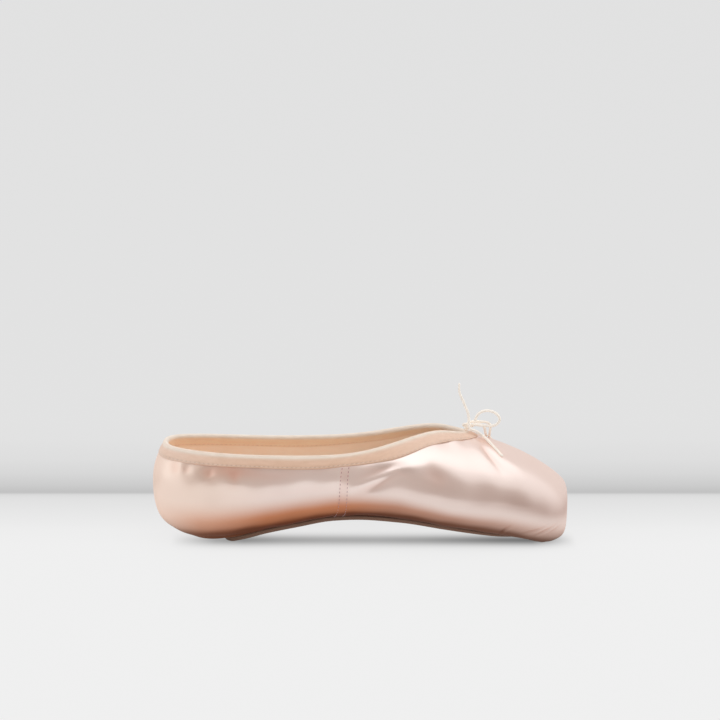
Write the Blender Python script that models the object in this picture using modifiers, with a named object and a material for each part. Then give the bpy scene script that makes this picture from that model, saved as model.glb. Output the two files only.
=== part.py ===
# A satin pointe shoe standing on its sole. The toe points along +X, up is +Z, the floor is z = 0 and
# the shoe is symmetric about the plane y = 0, as pointe shoes are made straight, for either foot.
# Each form is a half, from the back of the heel round one side to the tip of the toe, and is mirrored.

from collections import namedtuple
import math

import bmesh
import bpy
from mathutils import Vector
import numpy as np

# Driving sizes, in metres. Lengths along the shoe run from the back of the heel.
shoe_length = 0.235
heel_width = 0.054
waist_width = 0.060
ball_width = 0.074
platform_width = 0.047
heel_height = 0.0556
throat_height = 0.0612
arch_rise = 0.0145

quarter_wall = 0.0016
box_wall = 0.0030
seat_gap = 0.0003

sole_width = 0.049
sole_thickness = 0.0030
sole_edge_round = 0.0005
margin_width = 0.006

insole_thickness = 0.0014
insole_clearance = 0.0026
insole_tip_clearance = 0.0055

binding_width = 0.0070
binding_cloth = 0.0007

seam_width = 0.0050
seam_relief = 0.0004
seam_section = 4  # number of the section that the side seam follows

cord_diameter = 0.0015
knot_length = 0.0040
knot_width = 0.0033
knot_height = 0.0035
knot_centre = (0.0605, 0.0, 0.0642)

platform_tilt = math.radians(4)
platform_height = 0.022  # where the flat toe tip reaches furthest forward
platform_round = 0.0035

# Finishes: base colour, roughness and metallic value.
satin_finish = ((0.86, 0.66, 0.58), 0.35, 0.0)
tape_finish = ((0.87, 0.68, 0.55), 0.80, 0.0)
leather_finish = ((0.30, 0.17, 0.11), 0.70, 0.0)
lining_finish = ((0.84, 0.72, 0.60), 0.90, 0.0)
cord_finish = ((0.92, 0.80, 0.72), 0.60, 0.0)

# One row for each section of the half shoe, from the back of the heel to the tip of the toe.
# span is the section's own half width. Every x is a share of shoe_length and every y a share of span.
#   top: the topline, where rise runs from 0 at heel_height to 1 at throat_height
#   shoulder: how far out and how far up the wall is, between the topline and the side line
#   side: the widest line, at a level between the seat, 0, and the topline, 1
#   low: how full the wall is below the side line, 0.5 for flat and 1 for square
#   turn: where the wall turns under, lifted above the seat by a share of span, or pressed flat on
#     the floor where lift is below 0
#   sole: the edge of the sole, with y a share of half the sole_width
#   tape: the binding's width on the outside, as a share of binding_width
Section = namedtuple(
    "Section",
    "name span top_x top_y top_rise out up side_x side_y level low turn_x turn_y lift sole_x sole_y tape",
)
sections = (
    Section("heel_back", heel_width / 2,
            0.0300, 0.00, 0.00, 0.52, 0.74, 0.0010, 0.00, 0.50, 0.720, 0.086, 0.00, 0.00, 0.172, 0.00, 0.95),
    Section("heel_corner", heel_width / 2,
            0.0490, 0.455, -0.07, 0.55, 0.74, 0.0300, 0.69, 0.50, 0.700, 0.098, 0.36, 0.00, 0.178, 0.36, 1.0),
    Section("heel_side", heel_width / 2,
            0.1150, 0.71, -0.27, 0.60, 0.72, 0.1120, 1.00, 0.50, 0.715, 0.135, 0.56, 0.01, 0.206, 0.53, 1.0),
    Section("quarter", waist_width / 2,
            0.2640, 0.74, -0.56, 0.60, 0.72, 0.2770, 0.97, 0.50, 0.715, 0.280, 0.60, 0.03, 0.300, 0.60, 1.0),
    Section("side_seam", waist_width / 2,
            0.4650, 0.74, -0.40, 0.60, 0.72, 0.4550, 1.00, 0.48, 0.700, 0.446, 0.64, 0.03, 0.444, 0.66, 1.03),
    Section("instep", ball_width / 2,
            0.5830, 0.445, 0.52, 0.56, 0.72, 0.5960, 0.92, 0.43, 0.700, 0.588, 0.66, 0.03, 0.586, 0.86, 1.28),
    Section("ball", ball_width / 2,
            0.6680, 0.26, 1.32, 0.53, 0.73, 0.7230, 1.00, 0.36, 0.700, 0.712, 0.77, 0.03, 0.710, 0.96, 1.42),
    Section("box_side", ball_width / 2,
            0.7240, 0.15, 1.22, 0.60, 0.65, 0.8640, 0.85, 0.35, 0.710, 0.846, 0.62, 0.01, 0.833, 0.80, 1.22),
    Section("platform_corner", platform_width / 2,
            0.7500, 0.12, 1.05, 0.67, 0.57, 0.9820, 0.94, 0.34, 0.730, 0.938, 0.46, -0.022, 0.900, 0.42, 1.0),
    Section("toe_tip", platform_width / 2,
            0.7570, 0.00, 1.00, 0.71, 0.515, 1.0220, 0.00, 0.34, 0.750, 0.957, 0.00, -0.022, 0.916, 0.00, 1.0),
)

# The sole from its rear end to its tip: x is a share of shoe_length, rise a share of arch_rise, for
# the underside, and thick a share of sole_thickness.
Rise = namedtuple("Rise", "x rise thick")
sole_profile = (
    Rise(0.172, 0.000, 1.00), Rise(0.190, 0.000, 1.00), Rise(0.208, 0.065, 1.00), Rise(0.240, 0.205, 0.97),
    Rise(0.270, 0.350, 0.94), Rise(0.350, 0.630, 0.90), Rise(0.440, 0.920, 0.88), Rise(0.515, 1.000, 0.86),
    Rise(0.600, 0.945, 0.85), Rise(0.700, 0.720, 0.82), Rise(0.820, 0.385, 0.68), Rise(0.916, 0.115, 0.42),
)
toe_rest_start = 0.943  # share of shoe_length where the box comes down to the floor

# The drawstring's routes, point by point, in the part's own frame.
ends_route = (
    (0.0560, 0.0000, 0.0898), (0.0559, 0.0000, 0.0871), (0.0562, -0.0002, 0.0842), (0.0570, -0.0004, 0.0820),
    (0.0580, -0.0005, 0.0799), (0.0598, -0.0009, 0.0755), (0.0612, -0.0014, 0.0717), (0.0615, -0.0020, 0.0686),
    (0.0613, -0.0026, 0.0664), (0.0614, -0.0029, 0.0649), (0.0622, -0.0029, 0.0637), (0.0636, -0.0028, 0.0630),
    (0.0650, -0.0027, 0.0626), (0.0672, -0.0027, 0.0612), (0.0694, -0.0032, 0.0597), (0.0722, -0.0060, 0.0578),
    (0.0750, -0.0100, 0.0555), (0.0772, -0.0130, 0.0538), (0.0790, -0.0153, 0.0521), (0.0803, -0.0163, 0.0513),
)
loop_route = (
    (0.0630, 0.0010, 0.0639), (0.0641, 0.0010, 0.0649), (0.0649, 0.0009, 0.0667), (0.0655, 0.0008, 0.0688),
    (0.0667, 0.0005, 0.0712), (0.0691, 0.0002, 0.0730), (0.0723, 0.0000, 0.0736), (0.0757, -0.0002, 0.0727),
    (0.0782, -0.0004, 0.0707), (0.0790, -0.0005, 0.0687), (0.0781, -0.0006, 0.0666), (0.0758, -0.0007, 0.0651),
    (0.0722, -0.0008, 0.0649), (0.0685, -0.0009, 0.0652), (0.0658, -0.0009, 0.0655), (0.0630, -0.0009, 0.0654),
)
small_loop_route = (
    (0.0625, 0.0025, 0.0641), (0.0645, 0.0028, 0.0645), (0.0674, 0.0030, 0.0647), (0.0697, 0.0035, 0.0639),
    (0.0708, 0.0045, 0.0619), (0.0712, 0.0063, 0.0595), (0.0716, 0.0086, 0.0575), (0.0720, 0.0110, 0.0566),
    (0.0721, 0.0135, 0.0556), (0.0715, 0.0160, 0.0545), (0.0704, 0.0185, 0.0534), (0.0700, 0.0208, 0.0520),
    (0.0711, 0.0232, 0.0499), (0.0730, 0.0242, 0.0485), (0.0749, 0.0232, 0.0486), (0.0759, 0.0208, 0.0502),
    (0.0754, 0.0185, 0.0520), (0.0743, 0.0160, 0.0538), (0.0738, 0.0135, 0.0551), (0.0737, 0.0110, 0.0561),
    (0.0737, 0.0086, 0.0569), (0.0738, 0.0066, 0.0592), (0.0740, 0.0053, 0.0616), (0.0740, 0.0049, 0.0639),
    (0.0724, 0.0048, 0.0653), (0.0690, 0.0047, 0.0659), (0.0656, 0.0044, 0.0662), (0.0630, 0.0032, 0.0663),
    (0.0616, 0.0023, 0.0662),
)

# Steps of the mesh between one section and the next, and between one line of the wall and the next.
section_steps = (3, 3, 4, 4, 3, 3, 4, 4, 4)
wall_steps = (5, 5, 4, 4, 2, 1)


# Lines of the wall that other things go by, counted from the topline.
side_line, turn_line, sole_line = 2, 4, 5

# Splines

def cubic_through(knots, values, where):
    # Natural cubic spline through values at the knots, read at where.
    count = len(knots)
    gap = np.diff(knots)
    system = np.eye(count)
    right = np.zeros(values.shape)
    for i in range(1, count - 1):
        system[i, i - 1:i + 2] = gap[i - 1], 2 * (gap[i - 1] + gap[i]), gap[i]
        right[i] = 6 * ((values[i + 1] - values[i]) / gap[i] - (values[i] - values[i - 1]) / gap[i - 1])
    bend = np.linalg.solve(system, right)
    span = np.clip(np.searchsorted(knots, where, side="right") - 1, 0, count - 2)
    size = gap[span][:, None]
    after = ((where - knots[span])[:, None]) / size
    before = 1 - after
    return (before * values[span] + after * values[span + 1]
            + ((before ** 3 - before) * bend[span] + (after ** 3 - after) * bend[span + 1]) * size ** 2 / 6)


def level_curve(table_x, table_y, x):
    # Smooth curve through a table that never overshoots it: cubic Hermite with limited slopes.
    table_x, table_y = np.asarray(table_x), np.asarray(table_y)
    gap = np.diff(table_x)
    chord = np.diff(table_y) / gap
    slope = np.zeros(len(table_x))
    same_way = chord[:-1] * chord[1:] > 0
    mean = 2 * chord[:-1] * chord[1:] / np.where(same_way, chord[:-1] + chord[1:], 1)
    slope[1:-1] = np.where(same_way, mean, 0)
    span = np.clip(np.searchsorted(table_x, x, side="right") - 1, 0, len(gap) - 1)
    size = gap[span]
    s = np.clip((x - table_x[span]) / size, 0, 1)
    return ((1 + 2 * s) * (1 - s) ** 2 * table_y[span] + s * (1 - s) ** 2 * size * slope[span]
            + s ** 2 * (3 - 2 * s) * table_y[span + 1] - s ** 2 * (1 - s) * size * slope[span + 1])


# Profile of the underside

def sole_depth(x):
    return level_curve([row.x * shoe_length for row in sole_profile],
                       [row.thick * sole_thickness for row in sole_profile], x)


def seat(x):
    # Height of the upper's outside where the sole lies against it, and of the heel and toe beyond.
    along = np.array([row.x for row in sole_profile]) * shoe_length
    bed = np.array([row.rise for row in sole_profile]) * arch_rise + sole_depth(along) + seat_gap
    along = np.concatenate(([0], along, [toe_rest_start * shoe_length, shoe_length]))
    bed = np.concatenate(([bed[0]], bed, [0, 0]))
    return level_curve(along, bed, np.asarray(x, float))


def underside(x):
    return np.maximum(seat(x) - seat_gap - sole_depth(np.asarray(x, float)), 0)


# The upper's outer surface

def inset_outline(outline, distance):
    # Moves a half outline inwards, square to itself. Its ends stay on the plane y = 0.
    mirrored = np.vstack([outline[1] * (1, -1), outline, outline[-2] * (1, -1)])
    along = mirrored[2:] - mirrored[:-2]
    inward = np.column_stack([along[:, 1], -along[:, 0]])
    moved = outline + inward / np.linalg.norm(inward, axis=1)[:, None] * distance
    moved[[0, -1], 1] = 0
    return moved


def wall_lines():
    # The seven lines round the half shoe that the wall passes through: ten points on each, one a section.
    def column(name):
        return np.array([getattr(row, name) for row in sections])

    def blend(a, b, share):
        return a + (b - a) * share[:, None]

    span = column("span")
    top = np.column_stack([
        column("top_x") * shoe_length, column("top_y") * span,
        heel_height + column("top_rise") * (throat_height - heel_height)])
    side_x = column("side_x") * shoe_length
    base = seat(side_x)
    side = np.column_stack([
        side_x, column("side_y") * span, base + column("level") * (top[:, 2] - base)])
    turn_x = column("turn_x") * shoe_length
    turn = np.column_stack([turn_x, column("turn_y") * span, seat(turn_x) + column("lift") * span])
    shoulder = blend(top, side, column("out"))
    shoulder[:, 2] = side[:, 2] + column("up") * (top[:, 2] - side[:, 2])
    low = blend(turn, side, column("low"))
    low[:, 2] = side[:, 2] + column("low") * (turn[:, 2] - side[:, 2])
    edge = np.column_stack([column("sole_x") * shoe_length, column("sole_y") * sole_width / 2])
    opening = inset_outline(edge, margin_width)
    flat = [np.column_stack([line, seat(line[:, 0])]) for line in (edge, opening)]
    return np.stack([top, shoulder, side, low, turn, *flat], axis=1)


def section_knots(lines):
    # Distance round the shoe at each section, measured along the side line.
    steps = np.linalg.norm(np.diff(lines[:, 2], axis=0), axis=1)
    return np.concatenate(([0], np.cumsum(steps)))


def stops(steps):
    # Section or line numbers, with fractions: the places where the mesh has a column or a row.
    parts = [i + np.arange(count) / count for i, count in enumerate(steps)]
    return np.concatenate(parts + [[len(steps)]])


def outer_surface(around, down):
    # Points of the upper's outside. around counts sections from the heel and down counts lines from the
    # topline. Each section is a spline through its seven points, and the splines round the shoe are closed.
    lines = wall_lines()
    number = np.arange(len(lines))
    rows = np.append(down, sole_line)
    ribs = []
    for points in lines:
        chord = np.concatenate(([0], np.cumsum(np.linalg.norm(np.diff(points, axis=0), axis=1))))
        ribs.append(cubic_through(chord, points, np.interp(rows, np.arange(len(points)), chord)))
    ribs = np.array(ribs)
    knots = section_knots(lines)
    # Three more sections from the other side at each end make the curve cross y = 0 square.
    other_side = ribs * (1, -1, 1)
    ribs = np.concatenate([other_side[3:0:-1], ribs, other_side[-2:-5:-1]])
    knots_all = np.concatenate([-knots[3:0:-1], knots, 2 * knots[-1] - knots[-2:-5:-1]])
    where = np.interp(around, number, knots)
    flat = cubic_through(knots_all, ribs.reshape(len(ribs), -1), where)
    points = flat.reshape(len(where), len(rows), 3)
    points, edge = points[:, :-1], points[:, -1]
    # Between sections the wall's foot follows the sole, and the margin lies flat against it.
    error = seat(edge[:, 0]) - edge[:, 2]
    points[..., 2] += error[:, None] * soft_step((down - side_line) / (sole_line - side_line))
    return trimmed(np.where((down >= sole_line)[:, None] & (np.arange(3) == 2),
                            seat(points[..., 0])[..., None], points))


def soft_step(share):
    share = np.clip(share, 0, 1)
    return share * share * (3 - 2 * share)


def soft_excess(amount, reach):
    # The part of an amount that is above 0, with its corner rounded over reach on either side.
    corner = (amount + reach) ** 2 / (4 * reach)
    return np.where(amount <= -reach, 0, np.where(amount >= reach, amount, corner))


def trimmed(points):
    # Flattens the toe tip to its platform and the toe's underside to the floor.
    points = points.copy()
    facing = np.array([math.cos(platform_tilt), 0, -math.sin(platform_tilt)])
    beyond = (points - (shoe_length, 0, platform_height)) @ facing
    points -= soft_excess(beyond, platform_round)[..., None] * facing
    points[..., 2] = np.maximum(points[..., 2], 0)
    return points


def outward(points):
    # Unit normals of a half surface, with its neighbours across y = 0 taken from the mirror image.
    wide = np.concatenate([points[1:2] * (1, -1, 1), points, points[-2:-1] * (1, -1, 1)])
    along = wide[2:] - wide[:-2]
    down = np.gradient(points, axis=1)
    normal = np.cross(along, down)
    return normal / np.linalg.norm(normal, axis=2)[..., None]


def column_at(distances, points):
    # For each column, the points at its row of distances down the wall from the topline.
    steps = np.linalg.norm(np.diff(points, axis=1), axis=2)
    length = np.concatenate([np.zeros((len(points), 1)), np.cumsum(steps, axis=1)], axis=1)
    return np.array([
        np.column_stack([np.interp(distance, along, column[:, axis]) for axis in range(3)])
        for distance, along, column in zip(distances, length, points)])


# Building the pieces

def clear_scene():
    for obj in list(bpy.data.objects):
        bpy.data.objects.remove(obj, do_unlink=True)


def material(name, finish):
    colour, roughness, metallic = finish
    made = bpy.data.materials.new(name)
    made.use_nodes = True
    shader = made.node_tree.nodes["Principled BSDF"]
    shader.inputs["Base Color"].default_value = (*colour, 1)
    shader.inputs["Roughness"].default_value = roughness
    shader.inputs["Metallic"].default_value = metallic
    made.diffuse_color = (*colour, 1)
    return made


def half_object(name, points, finish, collection):
    # A grid of points, columns round the shoe and rows down it, as one open sheet that faces outwards.
    columns, rows = points.shape[:2]
    number = np.arange(columns * rows).reshape(columns, rows)
    faces = np.stack([number[:-1, :-1], number[1:, :-1], number[1:, 1:], number[:-1, 1:]], axis=-1)
    mesh = bpy.data.meshes.new(name)
    mesh.from_pydata(points.reshape(-1, 3).tolist(), [], faces.reshape(-1, 4).tolist())
    mesh.materials.append(material(name, finish))
    mesh.shade_smooth()
    obj = bpy.data.objects.new(name, mesh)
    collection.objects.link(obj)
    mirror = obj.modifiers.new("other_side", "MIRROR")
    mirror.use_axis = (False, True, False)
    mirror.merge_threshold = 0.00005
    return obj


def centred(points):
    # The part's origin is on the floor, midway between the heel and the toe tip.
    return points - (centre_x, 0, 0)


def make_upper(collection):
    around = seam_stops()
    points = outer_surface(around, stops(wall_steps))
    points = with_seam(points, around)
    upper = half_object("upper", centred(points), satin_finish, collection)
    thick = upper.vertex_groups.new(name="stiffened")
    share = wall_at(points) / box_wall
    for index, weight in enumerate(share.reshape(-1)):
        thick.add([index], float(weight), "REPLACE")
    wall = upper.modifiers.new("wall", "SOLIDIFY")
    wall.thickness = box_wall
    wall.offset = -1
    wall.use_even_offset = True
    wall.vertex_group = thick.name
    return upper


def seam_reach():
    # Half the seam's width, in sections.
    knots = section_knots(wall_lines())
    return seam_width / 2 / (knots[seam_section + 1] - knots[seam_section - 1]) * 2


def seam_stops():
    # The mesh's columns, with those near the side seam moved to its middle and to its two steps.
    reach = seam_reach()
    step = reach * seam_relief / seam_width * 2
    regular = stops(section_steps)
    regular = regular[np.abs(regular - seam_section) > 2 * reach]
    edges = seam_section + np.array([-reach - step, -reach, 0, reach, reach + step])
    return np.sort(np.concatenate([regular, edges]))


def with_seam(points, around):
    # Raises the side seam's strip, from the binding's lower edge down to the turn under the shoe.
    drop = np.linalg.norm(np.diff(points, axis=1), axis=2).cumsum(axis=1)
    below = np.concatenate([np.zeros((len(points), 1)), drop], axis=1) > binding_width * 1.1
    before_turn = stops(wall_steps) < 3.8
    in_strip = np.abs(around - seam_section) < seam_reach() * 1.001
    raised = in_strip[:, None] & below & before_turn
    return points + outward(points) * raised[..., None] * seam_relief


def wall_at(points):
    # The quarters are satin and lining. The box is stiffened: its wall thickens over the instep.
    share = soft_step((points[..., 0] / shoe_length - 0.70) / 0.12)
    depth = np.clip((throat_height - points[..., 2]) / 0.012, 0, 1)
    return quarter_wall + (box_wall - quarter_wall) * share * depth


def make_binding(collection):
    # A tape folded over the topline, with a leg outside and a leg inside the wall.
    around = stops(section_steps)
    down = np.linspace(0, 3, 61)
    wall = outer_surface(around, down)
    width = binding_width * np.interp(around, np.arange(len(sections)), [row.tape for row in sections])
    normals = outward(wall)
    stand = seat_gap + binding_cloth
    outside = column_at(np.outer(width, (1, 0.66, 0.33, 0.06)), wall + normals * stand)
    inside = column_at(np.outer(width, (0.06, 0.5, 0.96)), wall - normals * (quarter_wall + stand))
    edge = wall[:, :1]
    up = (edge - wall[:, 1:2])
    up = up / np.linalg.norm(up, axis=2)[..., None]
    across = normals[:, :1]
    middle = edge - across * quarter_wall / 2
    reach = quarter_wall / 2 + stand
    fold = [middle + (across * math.cos(turn) + up * math.sin(turn)) * reach
            for turn in np.radians((35, 90, 145))]
    strip = np.concatenate([outside, *fold, inside], axis=1)
    strip[[0, -1], :, 1] = 0
    binding = half_object("binding", centred(strip[:, ::-1]), tape_finish, collection)
    cloth = binding.modifiers.new("cloth", "SOLIDIFY")
    cloth.thickness = binding_cloth
    cloth.offset = -1
    cloth.use_even_offset = True
    return binding


def plate(name, outline, spine, top, bottom, edge_round, finish, collection):
    # A closed plate between two heights that vary along it, from its middle line out to its outline.
    def row(share, height, inset=0.0):
        line = spine + (inset_outline(outline, inset) - spine) * share
        return np.column_stack([line, height(line[:, 0])])

    rows = [row(share, top) for share in (0, 0.5)]
    rows.append(row(1, top, edge_round))
    rows.append(row(1, lambda x: top(x) - edge_round))
    rows.append(row(1, lambda x: bottom(x) + edge_round))
    rows.append(row(1, bottom, edge_round))
    rows += [row(share, bottom) for share in (0.5, 0)]
    points = np.stack(rows, axis=1)
    points[[0, -1], :, 1] = 0
    return half_object(name, centred(points), finish, collection)


def middle_line(outline):
    # The line that a plate's rows start from: straight along y = 0, short of the rounded ends.
    first, last = outline[0, 0], outline[-1, 0]
    reach = 0.3 * outline[:, 1].max()
    x = np.clip(outline[:, 0], first + reach, last - reach)
    return np.column_stack([x, np.zeros(len(x))])


def make_sole(collection):
    outline = outer_surface(stops(section_steps), np.array([sole_line]))[:, 0, :2]
    return plate("sole", outline, middle_line(outline), lambda x: seat(x) - seat_gap, underside,
                 sole_edge_round, leather_finish, collection)


def make_insole(collection):
    around = stops(section_steps)
    turned = outer_surface(around, np.array([turn_line]))[:, 0]
    outline = inset_outline(turned[:, :2], (insole_clearance + wall_at(turned))[:, None])
    # Its tip stops behind the bend where the box comes down to the floor.
    outline[:, 0] -= insole_tip_clearance * soft_step((outline[:, 0] / shoe_length - 0.80) / 0.13)

    def bottom(x):
        inside = wall_at(np.column_stack([x, x * 0, seat(x)]))
        return seat(x) + inside + seat_gap

    return plate("insole", outline, middle_line(outline), lambda x: bottom(x) + insole_thickness,
                 bottom, sole_edge_round, lining_finish, collection)


def make_knot(collection):
    # A ball squeezed to the knot's three sizes, with the wrapped cord's turns raised on it.
    mesh = bpy.data.meshes.new("drawstring_knot")
    shape = bmesh.new()
    bmesh.ops.create_uvsphere(shape, u_segments=20, v_segments=12, radius=0.5)
    for vertex in shape.verts:
        turn = math.atan2(vertex.co.y, vertex.co.x)
        wrap = 0.94 + 0.06 * math.cos(3 * turn + 8 * vertex.co.z)
        vertex.co *= wrap
        vertex.co.x *= knot_length
        vertex.co.y *= knot_width
        vertex.co.z *= knot_height
        vertex.co += Vector(knot_centre)
    shape.to_mesh(mesh)
    shape.free()
    mesh.materials.append(material("drawstring_knot", cord_finish))
    knot = bpy.data.objects.new("drawstring_knot", mesh)
    collection.objects.link(knot)
    return knot


def make_cord(name, route, collection):
    curve = bpy.data.curves.new(name, "CURVE")
    curve.dimensions = "3D"
    curve.bevel_depth = cord_diameter / 2
    curve.bevel_resolution = 2
    curve.use_fill_caps = True
    spline = curve.splines.new("POLY")
    spline.points.add(len(route) - 1)
    for point, place in zip(spline.points, route):
        point.co = (*place, 1)
    curve.materials.append(material(name, cord_finish))
    cord = bpy.data.objects.new(name, curve)
    collection.objects.link(cord)
    return cord


clear_scene()
shoe = bpy.data.collections.new("pointe_shoe")
bpy.context.scene.collection.children.link(shoe)
reach = outer_surface(stops((8,) * 9), np.linspace(0, 6, 61))[..., 0]
centre_x = (reach.min() + reach.max()) / 2
make_upper(shoe)
make_binding(shoe)
make_sole(shoe)
make_insole(shoe)
make_knot(shoe)
make_cord("drawstring_ends", ends_route, shoe)
make_cord("drawstring_loop", loop_route, shoe)
make_cord("drawstring_small_loop", small_loop_route, shoe)
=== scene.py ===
import math
from functools import partial

import bpy
import numpy as np
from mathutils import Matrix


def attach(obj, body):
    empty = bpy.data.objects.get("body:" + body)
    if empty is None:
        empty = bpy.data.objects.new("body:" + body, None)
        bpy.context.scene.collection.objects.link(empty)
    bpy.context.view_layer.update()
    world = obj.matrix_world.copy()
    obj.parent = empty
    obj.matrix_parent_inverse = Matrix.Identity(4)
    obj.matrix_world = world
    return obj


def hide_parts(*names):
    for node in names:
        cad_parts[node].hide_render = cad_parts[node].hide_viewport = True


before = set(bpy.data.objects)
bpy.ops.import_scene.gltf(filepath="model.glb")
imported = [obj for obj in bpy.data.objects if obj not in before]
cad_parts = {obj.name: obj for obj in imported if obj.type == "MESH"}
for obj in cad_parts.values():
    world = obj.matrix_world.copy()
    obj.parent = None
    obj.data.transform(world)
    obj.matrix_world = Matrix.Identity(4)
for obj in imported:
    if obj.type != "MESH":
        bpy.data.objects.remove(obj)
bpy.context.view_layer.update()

# The shoe's own sizes, the same as its solids have. Lengths along it run from the back of the heel.
shoe = {
    "length": 0.235, "heelWidth": 0.054, "waistWidth": 0.060, "ballWidth": 0.074, "platformWidth": 0.047,
    "heelHeight": 0.0556, "throatHeight": 0.0612, "archRise": 0.0145,
    "quarterWall": 0.0016, "boxWall": 0.0030, "seatGap": 0.0003,
    "soleWidth": 0.049, "soleThickness": 0.0030, "marginWidth": 0.006,
    "platformTilt": math.radians(4), "platformHeight": 0.022, "platformRound": 0.0035, "toeRestStart": 0.943,
    "boxStart": 0.70, "boxReach": 0.12, "boxDepth": 0.012,
    "sideLine": 2, "turnLine": 4, "soleLine": 5,
}

# One row for each section of the half shoe, from the back of the heel to the tip of the toe: the width it
# takes half of, then the numbers that sectionFields names. Every X is a share of the length and every Y a
# share of the half width.
sections = {
    "heelBack": ("heelWidth", 0.0300, 0.00, 0.00, 0.52, 0.74, 0.0010, 0.00, 0.50, 0.720,
                 0.086, 0.00, 0.00, 0.172, 0.00, 0.95),
    "heelCorner": ("heelWidth", 0.0490, 0.455, -0.07, 0.55, 0.74, 0.0300, 0.69, 0.50, 0.700,
                   0.098, 0.36, 0.00, 0.178, 0.36, 1.0),
    "heelSide": ("heelWidth", 0.1150, 0.71, -0.27, 0.60, 0.72, 0.1120, 1.00, 0.50, 0.715,
                 0.135, 0.56, 0.01, 0.206, 0.53, 1.0),
    "quarter": ("waistWidth", 0.2640, 0.74, -0.56, 0.60, 0.72, 0.2770, 0.97, 0.50, 0.715,
                0.280, 0.60, 0.03, 0.300, 0.60, 1.0),
    "sideSeam": ("waistWidth", 0.4650, 0.74, -0.40, 0.60, 0.72, 0.4550, 1.00, 0.48, 0.700,
                 0.446, 0.64, 0.03, 0.444, 0.66, 1.03),
    "instep": ("ballWidth", 0.5830, 0.445, 0.52, 0.56, 0.72, 0.5960, 0.92, 0.43, 0.700,
               0.588, 0.66, 0.03, 0.586, 0.86, 1.28),
    "ball": ("ballWidth", 0.6680, 0.26, 1.32, 0.53, 0.73, 0.7230, 1.00, 0.36, 0.700,
             0.712, 0.77, 0.03, 0.710, 0.96, 1.42),
    "boxSide": ("ballWidth", 0.7240, 0.15, 1.22, 0.60, 0.65, 0.8640, 0.85, 0.35, 0.710,
                0.846, 0.62, 0.01, 0.833, 0.80, 1.22),
    "platformCorner": ("platformWidth", 0.7500, 0.12, 1.05, 0.67, 0.57, 0.9820, 0.94, 0.34, 0.730,
                       0.938, 0.46, -0.022, 0.900, 0.42, 1.0),
    "toeTip": ("platformWidth", 0.7570, 0.00, 1.00, 0.71, 0.515, 1.0220, 0.00, 0.34, 0.750,
               0.957, 0.00, -0.022, 0.916, 0.00, 1.0),
}
sectionFields = ("topX", "topY", "topRise", "out", "up", "sideX", "sideY", "level", "low",
                 "turnX", "turnY", "lift", "soleX", "soleY", "tape")
lastSection = len(sections) - 1
sectionPlaces = np.arange(len(sections))

# The underside from the sole's rear end to its tip: share of the length, of the arch's rise and of the
# sole's thickness.
soleProfile = np.array([
    (0.172, 0.000, 1.00), (0.190, 0.000, 1.00), (0.208, 0.065, 1.00), (0.240, 0.205, 0.97),
    (0.270, 0.350, 0.94), (0.350, 0.630, 0.90), (0.440, 0.920, 0.88), (0.515, 1.000, 0.86),
    (0.600, 0.945, 0.85), (0.700, 0.720, 0.82), (0.820, 0.385, 0.68), (0.916, 0.115, 0.42),
])


# Nodes

def addNode(tree, kind, inputs=None, **settings):
    # A node with its settings, and its inputs set to a value or joined to another node's output.
    node = tree.nodes.new(kind)
    for name, value in settings.items():
        setattr(node, name, value)
    for name, value in (inputs or {}).items():
        if isinstance(value, bpy.types.NodeSocket):
            tree.links.new(value, node.inputs[name])
        else:
            node.inputs[name].default_value = value
    return node


def newMaterial(name, sockets):
    # A material whose shader has its even values set, each on its own socket.
    material = bpy.data.materials.new(name)
    material.use_nodes = True
    shader = material.node_tree.nodes["Principled BSDF"]
    for socket, value in sockets.items():
        shader.inputs[socket].default_value = value
    return material, material.node_tree, shader


def calculated(tree, operation, *inputs):
    return addNode(tree, "ShaderNodeMath", dict(enumerate(inputs)), operation=operation).outputs[0]


def mixed(tree, factor, first, second):
    node = addNode(tree, "ShaderNodeMix", {"Factor": factor}, data_type="RGBA")
    for number, value in ((6, first), (7, second)):
        if isinstance(value, bpy.types.NodeSocket):
            tree.links.new(value, node.inputs[number])
        else:
            node.inputs[number].default_value = (*value, 1)
    return node.outputs[2]


def multiplied(tree, first, second):
    return addNode(tree, "ShaderNodeVectorMath", {0: first, 1: second}, operation="MULTIPLY").outputs[0]


def ranged(tree, value, low, high, toLow=0.0, toHigh=1.0, ease="LINEAR"):
    return addNode(tree, "ShaderNodeMapRange", {
        "Value": value, "From Min": low, "From Max": high, "To Min": toLow, "To Max": toHigh},
        interpolation_type=ease).outputs["Result"]


def greyRamp(tree, factor, stops):
    node = addNode(tree, "ShaderNodeValToRGB", {"Fac": factor})
    ramp = node.color_ramp
    while len(ramp.elements) < len(stops):
        ramp.elements.new(1)
    for element, (place, grey) in zip(ramp.elements, stops):
        element.position = place
        element.color = (grey, grey, grey, 1)
    return node.outputs["Color"]


def noise(tree, place, detail, scale=1.0):
    return addNode(tree, "ShaderNodeTexNoise", {
        "Vector": place, "Scale": scale, "Detail": detail}).outputs["Fac"]


def textureCoordinate(tree, kind):
    return addNode(tree, "ShaderNodeTexCoord").outputs[kind]


def painted(tree, name, kind):
    # What the piece's own attribute of that name holds.
    return addNode(tree, "ShaderNodeAttribute", attribute_name=name).outputs[kind]


# Camera, lights and floor

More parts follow.
